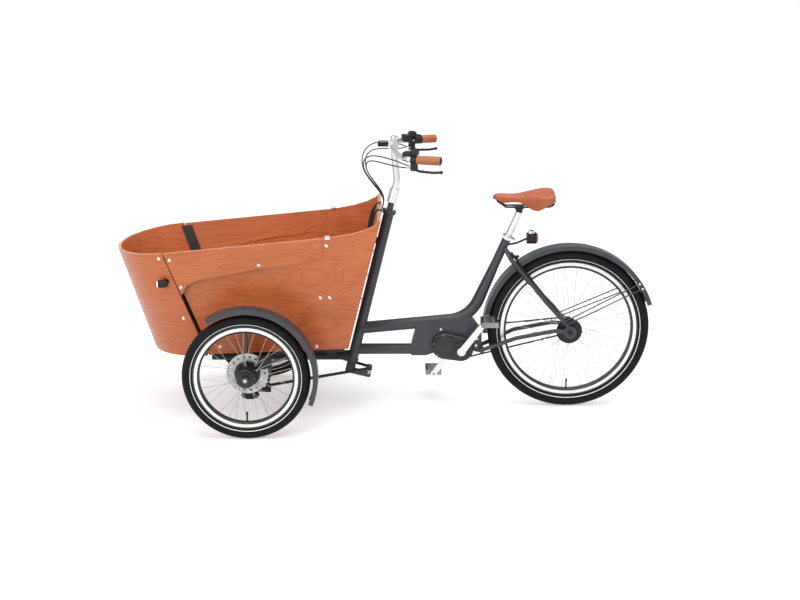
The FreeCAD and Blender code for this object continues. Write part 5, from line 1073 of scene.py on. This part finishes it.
@dataclass
class CargoBox:
    """Trim of the ply box: lamps, harness, seals and clips.

    A row of strap_run says how far behind the rear panel's front face the strap lies, how far up, and
    its twist in degrees. Rows of joint_line and cap_line are distances from the datum and up the wall.
    """

    strap_width: float = 0.026
    strap_thickness: float = 0.0025
    strap_spread: float = 0.075
    strap_run: tuple[Point, ...] = (
        (-0.0026, 0.250, 0), (-0.0052, 0.300, 0), (-0.0050, 0.350, 4), (-0.0095, 0.400, 22),
        (-0.0125, 0.440, 40), (-0.0130, 0.480, 42), (-0.0100, 0.512, 26), (-0.0034, 0.5305, 6),
        (0.0005, 0.5345, 0), (0.0060, 0.5355, 0), (0.0125, 0.5340, 0), (0.0150, 0.5285, 0),
        (0.0156, 0.512, 0), (0.0150, 0.468, 0))
    buckle: Point = (0.008, 0.038, 0.046)
    buckle_spot: tuple[float, float] = (-0.0105, 0.322)
    lamp_radius: float = 0.0145
    rear_foot: float = 0.067
    rear_top: float = 0.2241
    rear_height: float = 0.526
    ply: float = 0.012
    half: float = 0.240
    wall_lean: float = math.radians(7.0)
    recess: float = math.radians(2.2)
    strip_inset: float = 0.0134
    strip_heights: tuple[float, float] = (0.0135, 0.254)
    strip_laps: Point = (-0.010, 0.0105, 0.022)
    strip_thickness: float = 0.0016
    seam_foot: float = -0.480
    seam_lean: float = 0.31
    joint_line: Outline = ((-0.006, 0.3762), (-0.110, 0.358), (-0.261, 0.346), (-0.374, 0.330),
                           (-0.488, 0.314), (-0.526, 0.298))
    joint_drop: float = 0.0005
    cap_line: Outline = ((-0.523, 0.2995), (-0.537, 0.2810), (-0.5515, 0.2590))
    cap_thickness: float = 0.0020
    clip: Point = (0.020, 0.0165, 0.014)
    clip_spot: Point = (0.016, 0.288, 0.4545)

    def on_rear(self, out: float, y: float, up: float) -> Vector:
        """A place by the rear panel's front face.

        Args:
            out: Distance behind the face.
            y: Distance to the right.
            up: Distance up the panel.

        Returns:
            The point in metres.
        """
        lean = math.atan2(self.rear_top - self.rear_foot, self.rear_height)
        cos, sin = math.cos(lean), math.sin(lean)
        return box_point(self.rear_foot - self.ply / cos + out * cos + up * sin, y, up * cos - out * sin)

    def on_wall(self, side: Side, recess: float, u: float, inset: float, height: float) -> Vector:
        """A place inside a side wall's outer face.

        Args:
            side: Which wall.
            recess: Angle that the wall is drawn in by.
            u: Distance to the rear of the box's datum.
            inset: Distance in from the face.
            height: Distance up the wall.

        Returns:
            The point in metres.
        """
        wall = (Matrix.Translation((self.rear_foot, side.value * self.half, 0.0))
                @ Matrix.Rotation(side.value * recess, 4, "Z")
                @ Matrix.Rotation(-side.value * self.wall_lean, 4, "X"))
        return box_point(*(wall @ Vector((u - self.rear_foot, -side.value * inset, height))))

    def lamps(self, frame: Frame) -> None:
        """Set a lens and a bright bezel in the mouth of each lamp.

        Args:
            frame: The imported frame.
        """
        shell = frame["nodes"]["headlamps"]
        ahead = (box_point(-1.0, 0.0, 0.0) - box_point(0.0, 0.0, 0.0)).normalized()
        r = self.lamp_radius
        glass = ((0.0, r * 0.86), (0.002, r * 0.86), (0.0034, r * 0.7), (0.0046, r * 0.35))
        bezel = ((r * 0.86, 0.0), (r * 1.02, 0.0), (r * 1.02, 0.004), (r * 0.9, 0.0055))
        for side in Side:
            corners = [v.co for v in shell.data.vertices if v.co.y * side.value > 0]
            front = max(corner.dot(ahead) for corner in corners)
            face = [corner for corner in corners if corner.dot(ahead) > front - 0.0004]
            place = toward(sum(face, Vector()) / len(face) - ahead * 0.001, ahead)
            finished(lathe(glass), side.word + "_lamp_glass", "frame", CLEAR_LENS, place)
            finished(hoop(bezel), side.word + "_lamp_bezel", "frame", CHROME, place)

    def strap(self, side: Side) -> None:
        """Run one harness strap down the rear panel and over its top, with its adjuster.

        Args:
            side: Which strap.
        """
        y = side.value * self.strap_spread
        points = [self.on_rear(out, y, up) for out, up, _ in self.strap_run]
        columns = []
        for index, (_, _, twist) in enumerate(self.strap_run):
            along = points[min(index + 1, len(points) - 1)] - points[max(index - 1, 0)]
            half = Matrix.Rotation(math.radians(twist), 3, along) @ Vector((0.0, self.strap_width / 2, 0.0))
            columns.append((points[index] - half, points[index] + half))
        strap = ribbon(columns, self.strap_thickness, soft=True)
        finished(strap, side.word + "_harness_strap", "frame", BLACK_WEBBING)
        if side is Side.LEFT:
            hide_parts("harness_straps")
        out, up = self.buckle_spot
        buckle = recess(block(self.buckle, 0.003), AHEAD, 0.006, 0.003)
        finished(buckle, side.word + "_buckle", "frame", BLACK_PLASTIC, raked(self.on_rear(out, y, up)))

    def seal(self, side: Side) -> None:
        """Rubber bead pressed into the joint between the upper band and the drawn-in panel.

        Args:
            side: Which wall.
        """
        points = []
        for (u, height), (next_u, next_height) in zip(self.joint_line, self.joint_line[1:]):
            for share in (0.02, 0.05, 0.95, 0.98):
                rise = height + (next_height - height) * share - self.joint_drop
                points.append(self.on_wall(side, self.recess, u + (next_u - u) * share, 0.006, rise))
        bead, _ = tube(points, 0.0016)
        finished(bead, side.word + "_joint_seal", "frame", BELT_RUBBER)

    def corner_strip(self, side: Side) -> None:
        """Bent strip and cap inside the upright joint between the drawn-in panel and the front panel.

        Args:
            side: Which wall.
        """
        columns: list[list[Vector]] = [[], [], []]
        for height in self.strip_heights:
            rise = height * math.cos(self.wall_lean)
            seam = self.seam_foot - self.seam_lean * rise
            wide = self.half - self.strip_inset + rise * math.tan(self.wall_lean)
            columns[0].append(box_point(seam + self.strip_laps[0], side.value * wide, rise))
            for column, lap in zip(columns[1:], self.strip_laps[1:]):
                column.append(self.on_wall(side, self.recess, seam + lap, self.strip_inset, height))
        finished(ribbon(columns, self.strip_thickness), side.word + "_corner_strip", "frame", BLACK_PLASTIC)
        cap = [[self.on_wall(side, recess, u, inset, height - self.joint_drop)
                for recess, inset in ((0.0, 0.008), (self.recess, 0.0140))] for u, height in self.cap_line]
        finished(ribbon(cap, self.cap_thickness), side.word + "_corner_cap", "frame", BLACK_PLASTIC)

    def rim_clip(self, side: Side) -> None:
        """Bright clip over the rim for a cover.

        Args:
            side: Which rim.
        """
        u, v, w = self.clip_spot
        clip = recess(block(self.clip, 0.002), DOWN, 0.0018, 0.008)
        place = Matrix.Translation(box_point(u, side.value * v, w))
        finished(clip, side.word + "_rim_clip", "frame", STEEL, place)

    def build(self, frame: Frame) -> None:
        """Dress the lamps, the harness, the joints and the rim.

        Args:
            frame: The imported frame.
        """
        self.lamps(frame)
        for side in Side:
            self.strap(side)
            self.seal(side)
            self.corner_strip(side)
            self.rim_clip(side)


@dataclass
class Wheel:
    """One wheel's finishes and valve."""

    name: str
    centre: Point
    rim_inner: float
    band: tuple[float, float]
    line: float
    hub: float
    valve: Outline = ((0.0, 0.0055), (0.003, 0.0055), (0.004, 0.0032), (0.026, 0.0032), (0.027, 0.0042),
                      (0.038, 0.0040), (0.040, 0.0028))

    def finishes(self) -> dict[str, Finish]:
        """The finish of each of the wheel's nodes.

        Returns:
            Finishes by node.
        """
        made = (Tyre(self.name + "_tyre", "", self.centre, self.centre[2], self.line),
                RimFinish(self.name + "_rim", "", self.centre, *self.band),
                HubFinish(self.name + "_hub", "", self.centre, self.hub))
        return {finish.name: finish for finish in made}

    def build(self) -> None:
        """Set the valve in the rim."""
        x, y, z = self.centre
        place = toward((x, y, z - self.rim_inner - 0.001), UP)
        finished(lathe(self.valve, 18), self.name + "_valve", self.name + "_wheel", BLACK_PLASTIC, place)


@dataclass
class Drive:
    """Trim of the motor, cranks, pulley and pedals."""

    motor: Point = (0.2327, -0.050, 0.264)
    cover: float = -0.057
    crank: Point = (0.2973, 0.0, 0.251)
    crank_half: float = 0.082
    pulley_face: float = 0.0512
    bolt_face: float = 0.055
    pedal_out: float = 0.133
    tread_apart: float = 0.028
    gusset_bolts: tuple[Point, ...] = ((0.2160, -0.022, 0.3275), (0.3590, -0.022, 0.2610),
                                       (0.3620, -0.022, 0.2900))

    def motor_trim(self) -> None:
        """Rings on the cover, screws round the case and bolts on the gussets."""
        left = Side.LEFT.out
        cover = ((0.034, -0.001), (0.0430, -0.001), (0.0430, 0.0010), (0.0410, 0.0028), (0.0360, 0.0028))
        place = toward((self.motor[0], self.cover, self.motor[2]), left)
        finished(hoop(cover), "motor_cover_ring", "frame", MOTOR_COAT, place)
        collar = ((0.0165, -0.001), (0.0330, -0.001), (0.0315, 0.0060), (0.0190, 0.0080))
        place = toward((self.crank[0], self.motor[1], self.crank[2]), left)
        finished(hoop(collar), "spindle_collar", "frame", MOTOR_COAT, place)
        for index, turn in enumerate((100, 165, 230), 1):
            spot = around(self.motor, turn, 0.0462)
            screw(f"motor_screw_{index}", 0.0022, 0.0018, toward(spot, left))
        for index, spot in enumerate(self.gusset_bolts, 1):
            screw(f"gusset_bolt_{index}", 0.0062, 0.0045, toward(spot, left))

    def crank_trim(self) -> None:
        """Caps on the crank arms, and the belt pulley's face ring and bolts."""
        x, _, z = self.crank
        cap = ((0.0, 0.0125), (0.002, 0.0125), (0.0035, 0.0115), (0.0035, 0.0085), (0.0018, 0.0078))
        for side in Side:
            place = toward((x, side.value * (self.crank_half - 0.0005), z), side.out)
            finished(lathe(cap), side.word + "_crank_cap", "cranks", SATIN_SILVER, place)
        face = ((0.046, 0.0), (0.0655, 0.0), (0.0655, 0.002), (0.063, 0.004), (0.048, 0.004))
        right = Side.RIGHT.out
        finished(hoop(face), "pulley_ring", "cranks", SATIN_SILVER, toward((x, self.pulley_face, z), right))
        for index in range(5):
            spot = around((x, self.bolt_face, z), 18 + 72 * index, 0.0545)
            screw(f"pulley_bolt_{index + 1}", 0.0048, 0.0035, toward(spot, right), "cranks")

    def pedal_pads(self) -> None:
        """Rubber treads on both pedals."""
        for side in Side:
            low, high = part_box(side.word + "_pedal")
            middle = (low + high) / 2
            for hand in (-1, 1):
                spot = (middle.x + hand * self.tread_apart, side.value * self.pedal_out, middle.z)
                finished(block((0.010, 0.080, 0.026), 0.0025), f"{side.word}_pedal_tread_{hand + 1}",
                         side.word + "_pedal", BLACK_PLASTIC, Matrix.Translation(spot))

    def build(self) -> None:
        """Trim the drive."""
        self.motor_trim()
        self.crank_trim()
        self.pedal_pads()


def around(centre: Sequence[float], turn: float, radius: float) -> Vector:
    """A place round an axle along Y, by its turn in degrees and its radius."""
    angle = math.radians(turn)
    return Vector(centre) + Vector((math.cos(angle), 0.0, math.sin(angle))) * radius


def rise(value: float, start: float, end: float) -> float:
    """0 up to the start, 1 from the end on, and straight between."""
    return max(0.0, min(1.0, (value - start) / (end - start)))


def hump(value: float, middle: float, width: float) -> float:
    """A smooth bell, 1 at its middle."""
    return math.exp(-(((value - middle) / width) ** 2))


@dataclass
class Saddle:
    """Padded leather saddle with piping and a rear bumper."""

    voxel: float = 0.005
    shrink: float = 0.0025
    pressure: float = 4.0
    cap: float = 0.006
    skirt: float = 0.033
    groove: float = 0.0045
    dip: float = 0.005
    frames: int = 20
    front: float = 0.4146
    length: float = 0.246
    seam: tuple[Point, ...] = (
        (0.01, 0.011, 0.8632), (0.12, 0.0222, 0.8562), (0.28, 0.0290, 0.8552), (0.42, 0.0345, 0.8548),
        (0.58, 0.0560, 0.8536), (0.72, 0.0775, 0.8524), (0.84, 0.0880, 0.8530), (0.93, 0.0900, 0.8560),
        (0.995, 0.0760, 0.8650))
    guard: tuple[Point, ...] = (
        (0.624, -0.064, 0.8425), (0.643, -0.054, 0.8435), (0.6525, -0.030, 0.8445), (0.6545, 0.0, 0.8450),
        (0.6525, 0.030, 0.8445), (0.643, 0.054, 0.8435), (0.624, 0.064, 0.8425))

    def cover(self, frame: Frame) -> Obj:
        """Blow the pad's cover out from a slightly smaller copy of its solid.

        Args:
            frame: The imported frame.

        Returns:
            The padded shape.
        """
        pad = bpy.data.objects.new("saddle_cover", frame["nodes"]["saddle_pad"].data.copy())
        bpy.context.scene.collection.objects.link(pad)
        clean(pad)
        with editing(pad, "VERT"):
            bpy.ops.mesh.select_all(action="SELECT")
            bpy.ops.transform.shrink_fatten(value=-self.shrink)
        modify(pad, "REMESH", mode="VOXEL", voxel_size=self.voxel)
        modify(pad, "SMOOTH", iterations=4)
        self.inflate(pad)
        self.channel(pad)
        modify(pad, "SMOOTH", iterations=6)
        modify(pad, "SUBSURF", levels=1, render_levels=1)
        return pad

    def inflate(self, pad: Obj) -> None:
        """Press the cover out, with its underside held and every point's travel capped.

        Args:
            pad: The remeshed pad.
        """
        start = [vertex.co.copy() for vertex in pad.data.vertices]
        held = pad.vertex_groups.new(name="held")
        held.add([vertex.index for vertex in pad.data.vertices if vertex.normal.z < -0.5], 1.0, "REPLACE")
        cloth = pad.modifiers.new("cloth", "CLOTH")
        cloth.settings.use_pressure = True
        cloth.settings.uniform_pressure_force = self.pressure
        cloth.settings.vertex_group_mass = "held"
        cloth.settings.effector_weights.gravity = 0.0
        cloth.collision_settings.use_collision = False
        scene = bpy.context.scene
        for number in range(1, self.frames + 1):
            scene.frame_set(number)
        blown = pad.evaluated_get(bpy.context.evaluated_depsgraph_get())
        places = [vertex.co.copy() for vertex in blown.to_mesh().vertices]
        blown.to_mesh_clear()
        pad.modifiers.remove(cloth)
        pad.vertex_groups.clear()
        scene.frame_set(1)
        for vertex, before, after in zip(pad.data.vertices, start, places):
            step = after - before
            if step.length > self.cap:
                step *= self.cap / step.length
            vertex.co = before + step

    def channel(self, pad: Obj) -> None:
        """Press a shallow channel along the top's middle and draw the flanks down.

        Args:
            pad: The pad's mesh object.
        """
        for vertex in pad.data.vertices:
            x, y, z = vertex.co
            if z > 0.862:
                share = rise(x, 0.45, 0.51) * rise(x, 0.645, 0.615)
                vertex.co.z -= self.groove * share * hump(y, 0.0, 0.012)
                vertex.co.z -= self.dip * hump(x, 0.485, 0.05)
            half = 0.026 + 0.064 * rise(x, 0.50, 0.62)
            outer = rise(abs(y) / half, 0.55, 0.85)
            low = rise(z, 0.868, 0.854)
            belly = hump(x, 0.575, 0.045) + 0.50 * hump(x, 0.450, 0.040)
            vertex.co.z -= self.skirt * outer * low * belly

    def build(self, frame: Frame) -> None:
        """Make the cover, the seam cord round its lower edge and the guard under its rear edge.

        Args:
            frame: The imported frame.
        """
        pad = finished(self.cover(frame), "saddle_cover", "seat", TAN_LEATHER)
        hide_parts("saddle_pad")
        right = [(self.front + share * self.length, half, z) for share, half, z in self.seam]
        left = [(x, -y, z) for x, y, z in reversed(right)]
        piping, _ = tube(left + right, 0.0016)
        finished(piping, "saddle_piping", "seat", PIPING_LEATHER)
        bumper, _ = tube(self.guard, 0.0085)
        finished(bumper, "saddle_bumper", "seat", BLACK_PLASTIC)


@dataclass
class Handlebar:
    """Grips, control housings, display and bolts of the bar."""

    base: Point = (0.0719, 0.2533, 1.056)
    sweep: float = math.radians(20.4)
    grip_end: float = 0.135
    left_start: float = 0.0423
    right_start: float = 0.0726
    grip_steps: int = 14
    grip_radius: float = 0.0158
    clamp: float = 0.0307
    switch_in: float = 0.020
    middle: Point = (0.0243, 0.0, 1.073)
    clamp_radius: float = 0.021

    def grip_place(self, side: Side) -> Matrix:
        """Placement at the bar's last bend with local X along the grip."""
        x, y, z = self.base
        return Matrix.Translation((x, side.value * y, z)) @ Matrix.Rotation(side.value * self.sweep, 4, "Z")

    def grip(self, side: Side) -> None:
        """A swelling leather-clad grip with a rolled end and a plug.

        Args:
            side: Which grip.
        """
        start = self.left_start if side is Side.LEFT else self.right_start
        end = self.grip_end
        profile = [(start, 0.0140), (start + 0.0008, self.grip_radius)]
        for index in range(1, self.grip_steps):
            share = index / self.grip_steps
            swell = 0.0010 * math.sin(math.pi * share) + (0.0005 if index % 2 else -0.0003)
            profile.append((start + (end - 0.004 - start) * share, self.grip_radius + swell))
        profile += [(end - 0.003, 0.0172), (end, 0.0166), (end + 0.001, 0.0140)]
        place = self.grip_place(side) @ Matrix.Rotation(math.pi / 2, 4, "Y")
        piece = finished(lathe(profile, 40), side.word + "_grip_cover", "steering", GRIP_LEATHER, place)
        if side is Side.LEFT:
            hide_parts("grips")
        plug = ((end, 0.0132), (end + 0.002, 0.0132), (end + 0.0034, 0.010))
        finished(lathe(plug, 24), side.word + "_bar_plug", "steering", BLACK_PLASTIC, place)

    def housing(self, side: Side) -> None:
        """Reservoir block on top of a lever clamp, and the clamp's bolt.

        Args:
            side: Which clamp.
        """
        place = self.grip_place(side)
        tank = recess(block((0.026, 0.040, 0.018), 0.004), UP, 0.003, -0.002)
        spot = place @ Matrix.Translation((self.clamp, -0.006 * side.value, 0.0245))
        finished(tank, side.word + "_reservoir", "steering", BLACK_PLASTIC, spot)
        spot = place @ Matrix.Translation((self.clamp, -0.0175 * side.value, 0.0))
        inward = place.to_3x3() @ -Vector(side.out)
        screw(side.word + "_clamp_bolt", 0.0042, 0.004, toward(spot.translation, inward), "steering")

    def switch(self, side: Side) -> None:
        """Thumb switch inboard of a clamp, with two keys on the left and a window on the right.

        Args:
            side: Which clamp.
        """
        place = self.grip_place(side)
        name = side.word + "_switch"
        y = -self.switch_in * side.value
        box = recess(block((0.036, 0.040, 0.030), 0.006), UP, 0.003, 0.0012)
        finished(box, name, "steering", BLACK_PLASTIC, place @ Matrix.Translation((0.0, y, 0.012)))
        keys, finish = ((-0.009, 0.009), GLOSS_BLACK) if side is Side.LEFT else ((0.0,), STEEL)
        for index, shift in enumerate(keys, 1):
            spot = place @ Matrix.Translation((0.0, y + shift, 0.027))
            key = block((0.016, 0.012, 0.004), 0.0012)
            finished(key, f"{name}_key_{index}", "steering", finish, spot)

    def display(self) -> None:
        """Glass on the display, and a bell beside the clamp."""
        x, y, z = self.middle
        place = Matrix.Translation((x - 0.0413, y, z + 0.0137))
        finished(block((0.032, 0.056, 0.003), 0.0012), "display_glass", "steering", GLOSS_BLACK, place)
        bell = ((0.0, 0.004), (0.004, 0.012), (0.010, 0.0165), (0.016, 0.0150), (0.020, 0.008),
                (0.021, 0.002))
        finished(lathe(bell), "bell", "steering", CHROME, toward((x + 0.003, 0.062, z + 0.0088), UP))

    def stem_bolts(self) -> None:
        """Bolts on the bar clamp."""
        x, _, z = self.middle
        spots = ((-1, 0.010), (1, 0.010), (-1, -0.010), (1, -0.010))
        for index, (hand, height) in enumerate(spots, 1):
            front = x - math.sqrt(self.clamp_radius ** 2 - height ** 2) + 0.0006
            place = toward((front, hand * 0.015, z + height), (-1, 0, 40 * height))
            screw(f"bar_clamp_bolt_{index}", 0.0042, 0.0036, place, "steering")

    def build(self) -> None:
        """Furnish the bar."""
        for side in Side:
            self.grip(side)
            self.housing(side)
            self.switch(side)
        self.display()
        self.stem_bolts()


@dataclass
class RearEnd:
    """Trim of the rear lamp, wheel lock and mudguard."""

    lamp: Point = (0.5723, 0.0, 0.701)
    lock_turn: float = 128.6
    lock_radius: float = 0.3705
    lock_half: float = 0.041
    guard_turns: tuple[float, ...] = (35.0, 31.0)
    guard_radius: float = 0.337
    guard_half: float = 0.0378

    def lamp_trim(self) -> None:
        """Bright dome on the lamp's top, and a domed lens in its bezel."""
        x, y, z = self.lamp
        dome = ((0.0, 0.0150), (0.004, 0.0148), (0.009, 0.0120), (0.0125, 0.0070), (0.0138, 0.0015))
        finished(lathe(dome), "lamp_dome", "frame", CHROME, toward((x, y, z + 0.0205), UP))
        lens = ((0.0, 0.0190), (0.005, 0.0186), (0.0085, 0.0160), (0.0105, 0.0100), (0.0112, 0.0030))
        finished(lathe(lens), "lens_dome", "frame", RED_LENS, toward((x + 0.0180, y, z), BEHIND))
        bezel = ((0.0195, 0.0), (0.0232, 0.0), (0.0232, 0.0035), (0.0205, 0.0050))
        finished(hoop(bezel), "lens_bezel", "frame", BLACK_PLASTIC, toward((x + 0.0162, y, z), BEHIND))

    def lock_trim(self) -> None:
        """Key cylinder on one side of the wheel lock and a cover on the other."""
        barrel = ((0.0, 0.0095), (0.002, 0.0095), (0.0032, 0.0082), (0.0032, 0.0035), (0.0012, 0.0030))
        for side in Side:
            spot = around(REAR_AXLE, self.lock_turn, self.lock_radius) + Vector(side.out) * self.lock_half
            finish = STEEL if side is Side.LEFT else BLACK_PLASTIC
            place = toward(spot, side.out)
            finished(lathe(barrel), side.word + "_lock_barrel", "frame", finish, place)

    def guard_bolts(self) -> None:
        """Bolts that hold the rear mudguard's wires."""
        for side in Side:
            for index, turn in enumerate(self.guard_turns, 1):
                spot = around(REAR_AXLE, turn, self.guard_radius) + Vector(side.out) * self.guard_half
                screw(f"{side.word}_guard_bolt_{index}", 0.005, 0.003, toward(spot, side.out))

    def build(self) -> None:
        """Trim the rear end."""
        self.lamp_trim()
        self.lock_trim()
        self.guard_bolts()


WHEELS = (
    *(Wheel(side.word + "_front", (FRONT_AXLE[0], side.value * FRONT_AXLE[1], FRONT_AXLE[2]),
            rim_inner=0.177, band=(0.1850, 0.1970), line=0.2110, hub=0.050) for side in Side),
    Wheel("rear", REAR_AXLE, rim_inner=0.253, band=(0.2625, 0.2750), line=0.2895, hub=0.037),
)

NODE_FINISHES: dict[Finish, tuple[str, ...]] = {
    FRAME_COAT: ("head_tube", "main_beam", "lower_beam", "rear_stays", "steering_column", "rear_mudguard",
                 "left_front_mudguard", "right_front_mudguard"),
    BLACK_COAT: ("box_subframe", "saddle_rails", "left_brake_lever", "right_brake_lever", "lower_arm",
                 "upper_arm", "left_upright", "right_upright", "left_knuckle", "right_knuckle",
                 "left_drag_link", "right_drag_link", "rear_brake"),
    BLACK_PLASTIC: ("ring_lock", "rear_lamp", "lock_lever", "bar_controls", "twist_shifter", "headlamps"),
    MOTOR_COAT: ("motor_housing",),
    SATIN_SILVER: ("crankset", "seat_clamp", "quick_release_lever"),
    PEDAL_STEEL: ("left_pedal", "right_pedal"),
    POLISHED: ("handlebar", "seatpost"),
    STEEL: ("head_bearings", "left_rod_end", "right_rod_end", "rear_sprocket"),
    BELT_RUBBER: ("drive_belt",),
    RED_LENS: ("lamp_lens",),
    BOX_FITTINGS: ("box_fittings",),
    SIDE_VENEER: ("box_side_panels",),
    NOSE_VENEER: ("box_front_panel",),
    REAR_VENEER: ("box_rear_panel",),
    FLOOR_VENEER: ("box_floor", "bench_board"),
    TAN_LEATHER: ("saddle_pad", "grips"),
    BLACK_WEBBING: ("harness_straps",),
    CABLE_SHEATH: ("control_cables",),
}


def dress_nodes(frame: Frame) -> None:
    """Give every solid of the frame its finish.

    Args:
        frame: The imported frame.
    """
    table: dict[str, Finish] = {node: finish for finish, nodes in NODE_FINISHES.items() for node in nodes}
    for wheel in WHEELS:
        table.update(wheel.finishes())
    for name, obj in frame["nodes"].items():
        if not obj.data.materials:
            obj.data.materials.append(None)
        for index in range(len(obj.data.materials)):
            obj.data.materials[index] = table[name].material()
        LOG.info("solid %s in %s", name, table[name].name)


def corners(bounds: object) -> list[list[float]]:
    """Two corners of a box as plain lists."""
    return [[float(value) for value in corner] for corner in bounds]


def main() -> None:
    """Build the scene in order."""
    logging.basicConfig(level=logging.INFO, format="%(name)s: %(message)s")
    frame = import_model()
    Studio().build()
    dress_nodes(frame)
    CableLoom().build()
    CargoBox().build(frame)
    for wheel in WHEELS:
        wheel.build()
    Drive().build()
    Saddle().build(frame)
    Handlebar().build()
    RearEnd().build()


if __name__ == "__main__":
    main()
